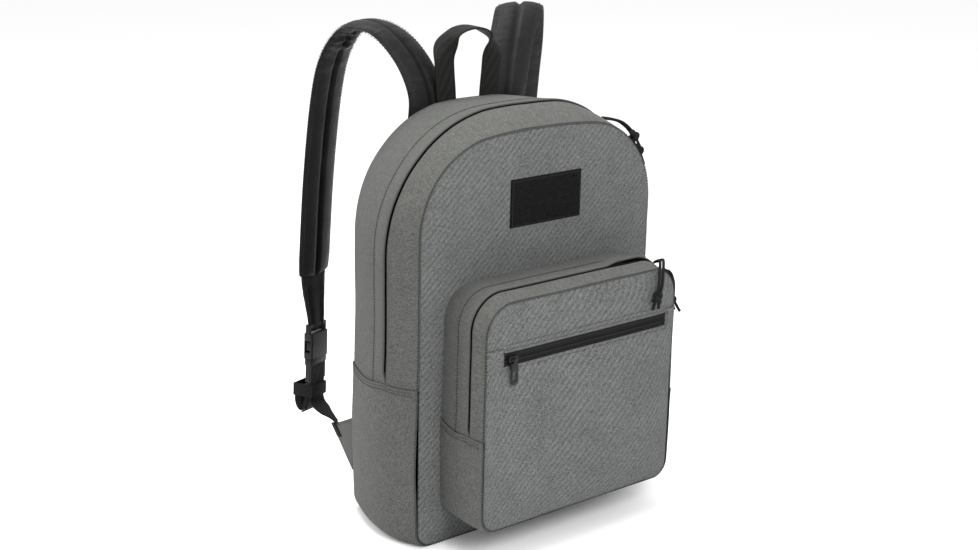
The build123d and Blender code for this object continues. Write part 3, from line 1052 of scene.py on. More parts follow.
        size = (2 * self.form.middle[1].half_length() * 0.35, back - front)
        mesh = woven_sheet((len(columns) - 1, len(rows) - 1), size, place, crease)
        middle = Vector((0, self.form.middle[0], mix(self.form.middle[1].low, self.form.middle[1].high, 0.4)))
        piece = finish_mesh(mesh, f"{node}_skin", "pack", middle)
        return dress(thicken(piece, 0.0006), self.cloth, "pack_cloth", node)

    def sewn_round(
        self,
        name: str,
        y: float,
        lift: float,
        ends: tuple[float, float],
        material: bpy.types.Material,
        radius: float,
    ) -> bpy.types.Object:
        """Row of stitches round the outline.

        Args:
            name: the piece's name.
            y: depth of the row.
            lift: height over the skin.
            ends: shares of the outline where it starts and ends.
            material: the thread.
            radius: half of the thread's thickness.

        Returns:
            The row.
        """
        line = []
        for step in range(601):
            share = mix(*ends, step / 600)
            _, normal = self.form.outline(y).point(share)
            line.append((self.form.at(share, y, lift), normal))
        return dress(stitch_line(name, "pack", line, radius=radius), material, "pack_cloth")

    def make_seams(self) -> None:
        """Sews the front seam, the flap's topstitch and the double row under the lower gusset's edge."""
        thread = self.finishes.thread_dark
        front, back = self.form.front[0], self.form.back[0]
        name = f"{self.prefix}front_seam_stitches"
        self.sewn_round(name, front + 0.0009, -0.0001, (0.0, 0.999), thread, 0.0005)
        flap_stitch = self.form.middle[0] - self.flap_cover + 0.021
        first = self.upper_share(0.0, flap_stitch) + 0.004
        name = f"{self.prefix}flap_topstitch"
        self.sewn_round(name, flap_stitch, 0.0007, (first, 1 - first), thread, 0.0004)
        for number, distance in enumerate((0.0030, 0.0065), 1):
            for side, hand in ((1, "right"), (-1, "left")):
                line = []
                for y in steps(front + 0.004, back - 0.004, 0.002):
                    outline = self.form.outline(y)
                    top = outline.side_share(self.seam_height(y))
                    share = side * (top - distance / outline.half_length() / 2)
                    line.append((self.form.at(share, y, 0.0019), Vector((side, 0, 0))))
                row = stitch_line(f"{self.prefix}lower_{hand}_stitches_{number}", "pack", line, radius=0.0004)
                dress(row, self.finishes.thread_grey, "pack_cloth")


def panel_mesh(
    outline: Outline, y: float, facing: float, bulge: Shade, rings: int = 34, around: int = 360
) -> bmesh.types.BMesh:
    """Panel that fills an outline, in rings from its sewn edge to its middle.

    Args:
        outline: the panel's edge.
        y: depth of the edge.
        facing: -1 if the panel faces the front, 1 if it faces the back.
        bulge: height over the edge at x and z.
        rings: number of rings.
        around: number of cells round the edge.

    Returns:
        The panel.
    """
    middle = Vector((0, y, (outline.low + outline.high) / 2))
    # Edge rows of (inset, rise, painted shade): the seam's bottom is painted darker.
    edge = [
        (0.0007, -0.0013, 0.4),
        (0.0011, -0.0006, 0.25),
        (0.0018, -0.0002, 0.1),
        (0.0032, 0.0, 0.0),
        (0.006, 0.0, 0.0),
    ]

    def row(v: float) -> tuple[float, float, float, float]:
        step = round(v * rings)
        if step < len(edge):
            return (*edge[step], 0.0)
        share = (step - len(edge) + 1) / (rings - len(edge) + 1)
        return edge[-1][0], 0.0, 0.0, share

    def place(u: float, v: float) -> Vector:
        inset, rise, _, share = row(v)
        spot, normal = outline.point(u)
        spot = spot - normal * inset
        flat = Vector((mix(spot.x, middle.x, share), 0, mix(spot.z, middle.z, share)))
        inward = smooth((inset + share * 0.1) / 0.02)
        return Vector((flat.x, y + facing * (rise + bulge(flat.x, flat.z) * inward), flat.z))

    mesh = woven_sheet((around, rings), (1.0, 1.0), place, lambda u, v: row(v)[2])
    cloth = mesh.loops.layers.uv.active
    for face in mesh.faces:
        for loop in face.loops:
            loop[cloth].uv = (loop.vert.co.x, loop.vert.co.z)
    return mesh


@dataclass
class MainBag:
    """The bag itself: skins, panels, seams, back pad, patch and wing tabs."""

    finishes: Finishes
    crown: float = 0.747
    foot: float = 0.018
    front_y: float = -0.065
    zip_y: float = -0.023
    back_y: float = 0.058
    patch_at: tuple[float, float] = (0.004, 0.349)
    patch_size: tuple[float, float] = (0.094, 0.050)

    def form(self) -> Form:
        """The bag's soft box."""
        shared = {"low": 0.0, "foot": self.foot, "crown": self.crown}
        return Form(
            (self.front_y, Outline(width=0.306, high=0.423, corner=0.093, **shared)),
            (self.zip_y, Outline(width=0.332, high=0.439, corner=0.135, **shared)),
            (self.back_y, Outline(width=0.292, high=0.434, corner=0.124, **shared)),
            slump=0.022,
        )

    def front_bulge(self, x: float, z: float) -> float:
        """Height of the front panel over its edge."""
        wave = noise.noise(Vector((x, 0.0, z)) / 0.09) * 0.0005
        patch_x, patch_z = self.patch_at
        calm = hump(x, patch_x - 0.05, patch_x + 0.05, 0.03) * hump(z, patch_z - 0.028, patch_z + 0.028, 0.03)
        return 0.0020 + wave * (1 - calm)

    def build(self) -> None:
        """Builds every piece of the bag."""
        looks = self.finishes
        form = self.form()
        bag = Bag(
            form, "", looks.gusset, looks, (0.174, 0.173, 0.168), 0.010, 0.0035,
            Window(start=0.30, end=0.405, ease=0.04, back=0.0075, rise=0.0012),
        )
        bag.make_upper()
        bag.make_lower("lower_gusset")
        bag.make_seams()
        inside = Vector((0, 0, 0.2))
        mesh = panel_mesh(form.front[1], self.front_y, -1, self.front_bulge)
        front = finish_mesh(mesh, "front_panel_skin", "pack", inside)
        dress(thicken(front, 0.0008), looks.pack, "pack_cloth", "front_panel")
        mesh = panel_mesh(form.back[1], self.back_y, 1, lambda x, z: 0.0004)
        back = finish_mesh(mesh, "back_panel_skin", "pack", inside)
        dress(thicken(back, 0.0008), looks.back, "back_cloth", "back_panel")
        self.back_pad(form.back[1])
        self.patch()
        for side, name in ((1, "right"), (-1, "left")):
            self.wing_tab(side, name)
        dress(self.zipper_coil(form), looks.coil, "zipper")

    def zipper_coil(self, form: Form) -> bpy.types.Object:
        """Coil teeth of the main zipper, down in its groove."""
        line = []
        first = form.middle[1].side_share(0.168)
        for step in range(801):
            share = mix(first, 1 - first, step / 800)
            _, normal = form.middle[1].point(share)
            line.append((form.at(share, self.zip_y, -0.0046), normal))
        mesh = bmesh.new()
        travelled, due = 0.0, 0.001
        for (start, normal), (end, _) in zip(line, line[1:]):
            travelled += (end - start).length
            if travelled >= due:
                turn = Matrix((Vector((0, 1, 0)), (end - start).normalized(), normal)).transposed().to_4x4()
                sizes = Matrix.Diagonal((0.0026, 0.0006, 0.0008, 1))
                place = Matrix.Translation(start) @ turn @ sizes
                bmesh.ops.create_uvsphere(mesh, u_segments=6, v_segments=4, radius=1, matrix=place)
                due += 0.0022
        return finish_mesh(mesh, "main_zipper_coil", "pack")

    def back_pad(self, outline: Outline) -> None:
        """Padded back panel with three sewn channels."""
        inset = 0.014
        loft = 0.0085
        channel_x, channel_z, channel_width = 0.045, 0.215, 0.0045
        pad = Outline(
            outline.width - 2 * inset,
            outline.low + inset,
            outline.high - inset - 0.022,
            outline.corner - inset,
            outline.foot - inset + 0.012,
            outline.crown - inset,
        )

        def thickness(x: float, z: float) -> float:
            beside = math.exp(-(((abs(x) - channel_x) / channel_width) ** 2))
            across = math.exp(-(((z - channel_z) / channel_width) ** 2))
            ripple = 0.0005 * noise.noise(Vector((x, z, 0)) / 0.05)
            return loft * (1 - 0.75 * max(beside, across)) + ripple

        mesh = panel_mesh(pad, self.back_y + 0.0006, 1, thickness, rings=60, around=320)
        piece = finish_mesh(mesh, "back_pad", "pack", Vector((0, 0, 0.2)))
        dress(thicken(piece, 0.0008), self.finishes.back, "foam", "back_foam")

    def patch(self) -> None:
        """Loop field sewn to the front panel."""
        width, height = self.patch_size
        at_x, at_z = self.patch_at
        low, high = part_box("loop_patch")
        outer, inner = low[1], high[1]

        def place(u: float, v: float) -> Vector:
            x, z = (u - 0.5) * width, (v - 0.5) * height
            edge = min(width / 2 - abs(x), height / 2 - abs(z))
            fuzz = noise.noise(Vector((x, 0, z)) / 0.0011)
            ragged = 1 + (0.006 * fuzz if edge < 0.001 else 0.0)
            y = mix(inner - 0.0002, outer, smooth(edge / 0.0009)) + 0.00025 * fuzz
            return Vector((at_x + x * ragged, y, at_z + z * ragged))

        mesh = woven_sheet((170, 92), (width, height), place)
        piece = finish_mesh(mesh, "loop_field", "pack", Vector((0, 0, at_z)))
        dress(thicken(piece, 0.0006), self.finishes.pile, "loop_pile", "loop_patch")
        inset = 0.0022
        corners = [(-1, -1), (1, -1), (1, 1), (-1, 1), (-1, -1)]
        line = []
        for (x0, z0), (x1, z1) in zip(corners, corners[1:]):
            for share in steps(0, 1, 0.02)[:-1]:
                x = mix(x0, x1, share) * (width / 2 - inset)
                z = mix(z0, z1, share) * (height / 2 - inset)
                line.append((Vector((at_x + x, outer + 0.0001, at_z + z)), Vector((0, -1, 0))))
        dress(stitch_line("loop_field_stitches", "pack", line), self.finishes.thread_black, "loop_pile")

    def wing_tab(self, side: int, name: str) -> None:
        """Grey cloth wedge sewn in the back seam, with the webbing's folded end on it."""
        tab = refined(f"{name}_wing_tab", f"{name}_wing", "pack", 0.0012, 3)
        dress(tab, self.finishes.gusset, "pack_cloth", f"{name}_wing_tab")
        low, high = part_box(f"{name}_wing_tab")
        outer = (high[0] if side > 0 else low[0]) + side * 0.0001
        front_y, tip_y = low[1], high[1]
        rows = (((front_y, 0.07), (tip_y, 0.56)), ((front_y, 0.93), (tip_y, 0.70)))
        for number, (start, end) in enumerate(rows, 1):
            line = []
            for share in steps(0, 1, 0.05):
                y = mix(start[0] + 0.002, end[0] - 0.002, share)
                z = mix(mix(low[2], high[2], start[1]), mix(low[2], high[2], end[1]), share)
                line.append((Vector((outer, y, z)), Vector((side, 0, 0))))
            row = stitch_line(f"{name}_wing_stitches_{number}", "pack", line)
            dress(row, self.finishes.thread_grey, "pack_cloth")
        end = refined(f"{name}_tab_webbing", f"{name}_tab_fold", "pack", 0.0016, 3)
        _, end_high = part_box(f"{name}_tab_webbing")
        fold_kept = 0.62
        for vert in end.data.vertices:
            vert.co.z = mix(end_high[2], vert.co.z, fold_kept)
        dress(end, self.finishes.webbing, "webbing", f"{name}_tab_webbing")


@dataclass
class FrontPocket:
    """Zipped box pocket with a slip pocket in its face."""

    finishes: Finishes
    face_y: float = -0.138
    zip_y: float = -0.113
    root_y: float = -0.064
    slip_top: float = 0.226
    slip_height: float = 0.015
    slip_left: float = -0.105
    slip_right: float = 0.112

    def form(self) -> Form:
        """The pocket's soft box."""
        shared = {"foot": 0.018, "crown": 40.0}
        return Form(
            (self.face_y, Outline(width=0.254, low=0.037, high=0.275, corner=0.034, **shared)),
            (self.zip_y, Outline(width=0.256, low=0.034, high=0.279, corner=0.036, **shared)),
            (self.root_y, Outline(width=0.248, low=0.034, high=0.277, corner=0.036, **shared)),
            slump=0.012, slump_height=0.10, ripple=0.0006, seed=5.0,
        )

    def build(self) -> None:
        """Builds every piece of the pocket."""
        looks = self.finishes
        form = self.form()
        bag = Bag(
            form, "pocket_", looks.gusset, looks, (0.137, 0.137, 0.141), 0.008, 0.0030,
            Window(start=0.385, end=0.425, ease=0.03, back=0.0060, rise=0.0008), step=0.0035,
        )
        bag.make_upper()
        bag.make_lower("pocket_lower_gusset")
        bag.make_seams()
        self.face(form)
        self.slip_zipper()

    def half_width(self, outline: Outline, z: float) -> float:
        """Half width of the pocket's face at a height."""
        half, corner, foot = outline.width / 2, outline.corner, outline.foot
        over = z - (outline.high - corner)
        under = (outline.low + foot) - z
        if over > 0:
            return half - corner + math.sqrt(max(0.0, corner**2 - over**2))
        if under > 0:
            return half - foot + math.sqrt(max(0.0, foot**2 - under**2))
        return half

    def face_sheet(self, name: str, low: float, high: float, node: str, hem_low: bool) -> None:
        """One of the face's two cloths, sunk at its sewn edges and folded at its edge beside the slip zipper.

        Args:
            name: the piece's name.
            low: height of its lower edge.
            high: height of its upper edge.
            node: the CAD node that it stands for.
            hem_low: whether the folded hem is its lower edge, and not its upper one.
        """
        outline = self.form().front[1]
        inset = 0.0009
        count = 44
        hem = 5

        def height(v: float) -> tuple[float, float, float]:
            """Height, hem lift and painted shade of a row."""
            share = v if not hem_low else 1 - v
            step = round(share * count)
            if step <= count - hem:
                eased = 1 - (1 - step / (count - hem)) ** 1.5 if hem_low else (step / (count - hem)) ** 1.3
                start, end = (high - inset, low) if hem_low else (low + inset, high)
                return mix(start, end, eased), 0.0004, 0.0
            angle = math.pi * (step - count + hem) / hem
            edge = low if hem_low else high
            sign = -1 if hem_low else 1
            rise = 0.0004 - 0.0008 * (1 - math.cos(angle))
            return edge + sign * 0.0008 * math.sin(angle), rise, 0.25 * angle

        def place(u: float, v: float) -> Vector:
            z, lift, _ = height(v)
            inner = max(low + inset, min(high - inset, z))
            half = self.half_width(outline, inner) - inset
            across = math.copysign(1 - (1 - abs(2 * u - 1)) ** 1.35, 2 * u - 1)
            x = across * half
            edge = min(half - abs(x), outline.high - z, z - outline.low)
            sunk = -0.0013 * (1 - smooth(edge / 0.0035))
            soft = 0.0022 * smooth(edge / 0.03) + 0.0005 * noise.noise(Vector((x, 3.0, z)) / 0.06)
            return Vector((x, self.face_y - lift - sunk - soft, z))

        # Painted shade at the folded hem and along the sunk sewn edges.
        def crease(u: float, v: float) -> float:
            z, _, dark = height(v)
            point = place(u, v)
            half = self.half_width(outline, max(low, min(high, z)))
            edge = min(half - abs(point.x), outline.high - z, z - outline.low)
            return max(dark * 0.8, 0.4 * (1 - smooth(edge / 0.0024)))

        mesh = woven_sheet((150, count), (0.254, high - low), place, crease)
        piece = finish_mesh(mesh, name, "pack", Vector((0, 0, mix(low, high, 0.5))))
        dress(thicken(piece, 0.0007), self.finishes.pack, "pack_cloth", node)

    def face(self, form: Form) -> None:
        """Upper and lower face cloths, end tabs and their stitching."""
        outline = form.front[1]
        forward = Vector((0, -1, 0))
        slip_low = self.slip_top - self.slip_height
        self.face_sheet("pocket_upper_face_cloth", self.slip_top, outline.high, "pocket_upper_face", True)
        self.face_sheet("pocket_lower_face_cloth", outline.low, slip_low, "pocket_lower_face", False)
        rim_x = outline.width / 2 - 0.001
        for name, start, end in (("left", -rim_x, self.slip_left), ("right", self.slip_right, rim_x)):
            inner = end if name == "left" else start

            def place(u: float, v: float) -> Vector:
                x = mix(start, end, u)
                z = mix(slip_low - 0.004, self.slip_top + 0.004, v)
                rim = smooth(abs(x - inner) / 0.0012)
                outer = abs(x - (start if name == "left" else end))
                return Vector((x, self.face_y - 0.0002 - 0.0022 * rim * smooth(outer / 0.004), z))

            mesh = woven_sheet((14, 12), (abs(end - start), 0.023), place)
            piece = finish_mesh(mesh, f"slip_{name}_end_tab", "pack", Vector((0, 0, self.slip_top)))
            dress(thicken(piece, 0.0007), self.finishes.pack, "pack_cloth")
            stitch_x = inner + (0.002 if name == "right" else -0.002)
            upward = steps(slip_low, self.slip_top, 0.002)
            line = [(Vector((stitch_x, self.face_y - 0.0026, z)), forward) for z in upward]
            row = stitch_line(f"slip_{name}_end_stitches", "pack", line)
            dress(row, self.finishes.thread_dark, "pack_cloth")
        for number, z in enumerate((self.slip_top + 0.0028, self.slip_top + 0.0075, slip_low - 0.0028), 1):
            along = steps(self.slip_left, self.slip_right, 0.004)
            line = [(Vector((x, self.face_y - 0.0030, z)), forward) for x in along]
            row = stitch_line(f"slip_stitches_{number}", "pack", line, radius=0.0003)
            dress(row, self.finishes.thread_grey, "pack_cloth")

    def slip_zipper(self) -> None:
        """Reversed-coil zipper of the slip pocket: two ribbed tape bands with a closed seam between them."""
        low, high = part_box("slip_zipper")
        middle = (low[2] + high[2]) / 2
        outer = low[1]

        def place(u: float, v: float) -> Vector:
            z = mix(low[2] - 0.0008, high[2] + 0.0008, v)
            off = (z - middle) / (self.slip_height / 2)
            ribs = 0.00042 * math.sin(off * math.pi * 5.0)
            seam = 0.0009 * math.exp(-((off / 0.07) ** 2))
            return Vector((mix(low[0], high[0], u), outer + 0.0002 - ribs + seam, z))

        # Painted shade in the seam between the two tapes and in the grooves between the ribs.
        def crease(u: float, v: float) -> float:
            off = (v - 0.5) * 2
            shade_between_ribs = 0.5 - 0.5 * math.sin(off * math.pi * 5.0)
            return max(0.9 * math.exp(-((off / 0.08) ** 2)), 0.45 * shade_between_ribs)

        mesh = woven_sheet((110, 60), (high[0] - low[0], self.slip_height), place, crease)
        piece = finish_mesh(mesh, "slip_zipper_bands", "pack", Vector((0, 0, middle)))
        dress(thicken(piece, 0.0005), self.finishes.zipper, "zipper", "slip_zipper")


class Face(Enum):
    """The two faces of a shoulder strap."""

    OUTER = 1
    INNER = -1


def strap_line(points: Sequence[Vector], share: float) -> Vector:
    """Point of a smooth line through given points.

    Args:
        points: the points that it passes through.
        share: 0 at the first, 1 at the last.

    Returns:
        The point, on a Catmull-Rom curve.
    """
    place = min(max(share, 0.0), 1.0) * (len(points) - 1)
    index = min(int(place), len(points) - 2)
    t = place - index
    here, there = points[index], points[index + 1]
    before = points[index - 1] if index > 0 else here * 2 - there
    after = points[index + 2] if index + 2 < len(points) else there * 2 - here
    pull_in = (there - before) / 2
    pull_out = (after - here) / 2
    return (
        here * (2 * t**3 - 3 * t**2 + 1) + pull_in * (t**3 - 2 * t**2 + t)
        + there * (-2 * t**3 + 3 * t**2) + pull_out * (t**3 - t**2)
    )


@dataclass
class Band:
    """Strip of cloth or webbing along a line, with a section that may change along it."""

    points: Sequence[Vector]
    heading: Callable[[float], Vector]

    def frame(self, share: float) -> tuple[Vector, Vector, Vector]:
        """Place, width direction and face direction at a share of the line."""
        ahead = strap_line(self.points, min(1.0, share + 0.004))
        behind = strap_line(self.points, max(0.0, share - 0.004))
        along = (ahead - behind).normalized()
        across = self.heading(share).normalized()
        face = across.cross(along).normalized()
        return strap_line(self.points, share), across, face

    def length(self) -> float:
        """Length of the line."""
        spots = [strap_line(self.points, step / 200) for step in range(201)]
        return sum((b - a).length for a, b in zip(spots, spots[1:]))

    def mesh(
        self, section: Callable[[float, float], tuple[float, float]], cells: tuple[int, int], width: float,
        crease: Callable[[float, float], float] | None = None,
    ) -> bmesh.types.BMesh:
        """Closed skin round the strip, with both ends closed.

        Args:
            section: gives offsets across and off the face for u round the section and a share of the line.
            cells: cells round and along.
            width: the strip's width, for its cloth coordinates.
            crease: painted shade, how dark it is there.

        Returns:
            The skin.
        """
        def place(u: float, v: float) -> Vector:
            centre, across, face = self.frame(v)
            if v in (0.0, 1.0):
                return centre
            off_across, off_face = section(u, v)
            return centre + across * off_across + face * off_face

        return woven_sheet(cells, (2 * width, self.length()), place, crease)


def rounded_strip(width: float, thick: float) -> Callable[[float, float], tuple[float, float]]:
    """Section of flat webbing with soft edges.

    Args:
        width: its width.
        thick: its thickness.

    Returns:
        The section, as Band.mesh takes it.
    """
    def section(u: float, v: float) -> tuple[float, float]:
        angle = 2 * math.pi * u
        cos, sin = math.cos(angle), math.sin(angle)
        across = math.copysign(abs(cos) ** 0.35, cos) * width / 2
        return across, math.copysign(abs(sin) ** 0.45, sin) * thick / 2

    return section


@dataclass
class ShoulderStrap:
    """Padded shoulder strap with its webbing, side-release buckle, rolled tail and keeper."""

    finishes: Finishes
    side: int
    route: Sequence[tuple[float, float, float]]
    width: float = 0.055
    thick: float = 0.0105
    turn: float = 18.0
    swing_point: tuple[float, float, float] = (0.146, 0.094, 0.088)

    @property
    def name(self) -> str:
        """Which strap it is."""
        return "right" if self.side > 0 else "left"

    def heading(self, share: float) -> Vector:
        """Width direction of the pad along its line."""
        angle = math.radians(self.turn * min(1.0, 0.25 + 1.6 * share))
        return Vector((self.side * math.cos(angle), -math.sin(angle), 0))

    def section(self, u: float, v: float) -> tuple[float, float]:
        """Pad's section: two soft rolls with a sewn channel between them, wrinkled where it bends."""
        angle = 2 * math.pi * u
        cos, sin = math.cos(angle), math.sin(angle)
        taper = smooth(v / 0.012) * smooth((1 - v) / 0.012)
        pinch = 1 - 0.06 * smooth((v - 0.97) / 0.03) + 0.07 * (1 - smooth(v / 0.12))
        across = math.copysign(abs(cos) ** 0.72, cos) * self.width / 2 * pinch
        share = abs(across) / (self.width / 2)
        half = self.thick / 2 * max(0.0, 1 - min(1.0, share) ** 3.2) ** 0.5
        channel = math.exp(-((across / 0.0021) ** 2))
        piping = math.exp(-(((share - 0.86) / 0.035) ** 2))
        half *= 1 - 0.62 * channel - 0.12 * piping
        bend = hump(v, 0.36, 0.60, 0.12)
        run = v * self.run
        fold = noise.noise(Vector((across / 0.024, run / 0.0085, self.side * 3.0)))
        ridge = 1 - 2 * abs(noise.noise(Vector((across / 0.030, run / 0.011, self.side * 9.0))))
        pucker = math.sin(run / 0.0105 * 2 * math.pi + 2.5 * fold) * smooth((share - 0.5) / 0.4)
        inner = max(0.0, -sin * self.face_sign)
        creased = 0.0022 * bend * inner * (fold + 0.8 * ridge - 0.6)
        creased = creased + 0.0005 * fold + 0.0004 * pucker * (0.4 + inner)
        half += creased * (1 - 0.6 * channel)
        return across * (0.3 + 0.7 * taper), math.copysign(max(0.0004, half) * abs(sin) ** 0.8, sin) * taper

    @property
    def face_sign(self) -> float:
        """1 if the band's face direction points to the strap's outer face."""
        return float(self.side)

    def build(self) -> None:
        """Builds every piece of the strap."""
        looks = self.finishes
        points = [Vector((self.side * x, y, z)) * MM for x, y, z in self.route]
        root = points[0] + Vector((-0.004 * self.side, 0.0030, -0.034))
        self.line = Band([root, *points], self.heading)
        self.run = self.line.length()
        body = f"{self.name}_strap"

        # Painted shade down the pad's sewn channel.
        def crease(u: float, v: float) -> float:
            across, _ = self.section(u, v)
            return 0.75 * math.exp(-((across / 0.0022) ** 2))

        mesh = self.line.mesh(self.section, (72, 190), self.width, crease)
        pad = finish_mesh(mesh, f"{self.name}_pad", None)
        dress(pad, looks.strap, "strap_cloth", f"{self.name}_shoulder_pad")
        tuple(points[0])
        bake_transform(pad)
        self.sew_pad()
        self.holder(points[-1], body)
        self.buckle()
        self.lower_webbing()

    def sew_pad(self) -> None:
        """Stitches down the pad's channel and along its piping, on both faces."""
        for face in Face:
            for label, share in (("channel", 0.0), ("left_edge", -0.86), ("right_edge", 0.86)):
                line = []
                for v in steps(0.03, 0.975, 0.006):
                    centre, across, normal = self.line.frame(v)
                    off = share * self.width / 2
                    half = self.thick / 2 * (1 - abs(share) ** 3.2) ** 0.5
                    half *= (1 - 0.62) if label == "channel" else (1 - 0.12)
                    side = normal * face.value
                    line.append((centre + across * off + side * (half + 0.0001), side))
                name = f"{self.name}_pad_{face.name.lower()}_{label}"
                row = stitch_line(name, None, line, 0.0036, 0.0026, 0.0003)
                dress(row, self.finishes.thread_black, "strap_cloth")
                root = self.line.points[0]
                tuple(root)
                tuple(root + Vector((0, 0, 0.070)))
                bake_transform(row)

    def buckle_frame(self) -> tuple[Vector, Vector, Vector, Vector]:
        """The buckle's webbing bar, and its directions across, out of the face and down."""
        top = Vector((self.side * 0.138, 0.1435, 0.185))
        foot = Vector((self.side * 0.1425, 0.1395, 0.118))
        down = (foot - top).normalized()
        angle = math.radians(24.0)
        heading = Vector((self.side * math.cos(angle), -math.sin(angle), 0))
        across = (heading - down * heading.dot(down)).normalized()
        return top, across, down.cross(across) * self.side, down

    def holder(self, pad_end: Vector, body: str) -> None:
        """Folded cloth end that narrows from the pad to the buckle's bar."""
        top, across, _, down = self.buckle_frame()
        points = [
            pad_end + Vector((0, 0, 0.010)),
            pad_end - Vector((0, 0.0004, 0.006)),
            pad_end.lerp(top, 0.5),
            top - down * 0.001,
            top + down * 0.009,
        ]

        def heading(share: float) -> Vector:
            return self.heading(1.0).lerp(across, share)

        def section(u: float, v: float) -> tuple[float, float]:
            angle = 2 * math.pi * u
            cos, sin = math.cos(angle), math.sin(angle)
            width = mix(0.038, 0.026, smooth((v - 0.2) / 0.75))
            thick = mix(0.0065, 0.0048, v)
            pleat = 0.0006 * math.sin(cos * 9.0) * smooth(v / 0.3)
            fold = 0.0007 * noise.noise(Vector((cos * 2.0, v * 6.0, self.side * 7.0)))
            off_across = math.copysign(abs(cos) ** 0.5, cos) * width / 2
            return off_across, math.copysign(abs(sin) ** 0.5, sin) * thick / 2 + pleat + fold

        mesh = Band(points, heading).mesh(section, (40, 30), 0.038)
        piece = finish_mesh(mesh, f"{self.name}_holder", body)
        dress(piece, self.finishes.strap_end, "strap_cloth", f"{self.name}_strap_end")

    def buckle(self) -> None:
        """Side-release buckle, the flat roll of spare webbing and the elastic that holds it."""
        looks = self.finishes
        strap, lower = f"{self.name}_strap", f"{self.name}_buckle"
        for node, body, width in (
            ("buckle_female", strap, 0.0011),
            ("buckle_male", lower, 0.0008),
            ("buckle_prongs", lower, 0.0005),
        ):
            piece = refined(f"{self.name}_{node}", f"{self.name}_{node}_moulded", body, width, 3)
            dress(piece, looks.plastic, "buckle_plastic", f"{self.name}_{node}")
        keeper = refined(f"{self.name}_elastic_keeper", f"{self.name}_keeper_band", lower, 0.0003, 2)
        _, _, _, down = self.buckle_frame()
        keeper.data.transform(Matrix.Translation(down * -0.0035))
        dress(keeper, looks.elastic, "elastic", f"{self.name}_elastic_keeper")
        self.roll(lower)

    def roll(self, body: str) -> None:
        """Spare webbing wound in a flat roll, its spiral showing at both edges."""
        low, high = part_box(f"{self.name}_rolled_tail")
        _, across, out, down = self.buckle_frame()
        centre = (Vector(low) + Vector(high)) / 2 + down * 0.0065
        turns, gap = 3.2, 0.0021
        long_half, short_half = 0.0150, 0.0092
        wide = 0.0249

        def place(u: float, v: float) -> Vector:
            angle = 2 * math.pi * turns * u
            shrink = gap * turns * u
            reach = math.sin(angle) * max(0.0008, short_half - shrink)
            spot = down * (math.cos(angle) * (long_half - shrink)) + out * reach
            skew = 0.0008 * math.sin(5.0 * u)
            return centre + spot + across * ((v - 0.5) * wide + skew)

        mesh = woven_sheet((190, 10), (0.16, wide), place)
        piece = finish_mesh(mesh, f"{self.name}_webbing_roll", body)
        dress(thicken(piece, 0.0014, 0.0), self.finishes.webbing, "webbing", f"{self.name}_rolled_tail")

    def lower_webbing(self) -> None:
        """Webbing from the buckle's ladder bars through the keeper to the wing tab, twisting on its way."""
        top, across, out, down = self.buckle_frame()
        towards_pack = out if out.y < 0 else -out
        start = top + down * 0.0430 + towards_pack * 0.0024
        bend = top + down * 0.0874 + towards_pack * 0.0031
        tip = Vector((self.side * self.swing_point[0], *self.swing_point[1:]))
        points = [
            start,
            start.lerp(bend, 0.5),
            bend,
            bend.lerp(tip, 0.4) + Vector((0, 0, -0.002)),
            bend.lerp(tip, 0.75),
            tip - Vector((0, 0.004, 0.001)),
        ]
        last = Vector((self.side * math.cos(math.radians(52)), -math.sin(math.radians(52)), 0))

        def heading(share: float) -> Vector:
            return across.lerp(last, smooth((share - 0.45) / 0.55))

        def section(u: float, v: float) -> tuple[float, float]:
            wide = mix(0.026, 0.012, smooth((v - 0.5) / 0.5))
            return rounded_strip(wide, 0.0017)(u, v)

        mesh = Band(points, heading).mesh(section, (24, 60), 0.025)
        piece = finish_mesh(mesh, f"{self.name}_lower_strap", None)
        dress(piece, self.finishes.webbing, "webbing", f"{self.name}_lower_webbing")
        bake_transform(piece)


@dataclass
class GrabHandle:
    """Webbing grab handle between the straps."""

    finishes: Finishes
    shift: float = -4.0
    route: Sequence[tuple[float, float, float]] = (
        (28.0, 54.0, 432.5),
        (29.0, 54.0, 446.0),
        (30.8, 54.0, 465.0),
        (31.3, 54.0, 483.0),
        (27.0, 54.0, 496.5),
        (16.0, 54.0, 505.0),
        (0.0, 54.0, 508.0),
    )
    twist: tuple[float, float] = (0.2, 0.4)
    width: float = 0.025
    thick: float = 0.0026

    def heading(self, share: float) -> Vector:
        """Width direction: across the pack at both ends, front to back at the top."""
        from_end = min(share, 1 - share)
        start, end = self.twist
        angle = math.radians(-90 * smooth((from_end - start) / (end - start)))
        if share > 0.5:
            angle = -math.pi - angle
        return Vector((math.cos(angle), -math.sin(angle), 0))

    def build(self) -> None:
        """Builds the handle."""
        right = [Vector((x + self.shift, y, z)) * MM for x, y, z in self.route]
        left = [Vector((self.shift - x, y, z)) * MM for x, y, z in self.route[-2::-1]]
        band = Band(right + left, self.heading)
        mesh = band.mesh(rounded_strip(self.width, self.thick), (24, 150), self.width)
        piece = finish_mesh(mesh, "webbing_handle", "handle")
        dress(piece, self.finishes.webbing, "webbing", "grab_handle")


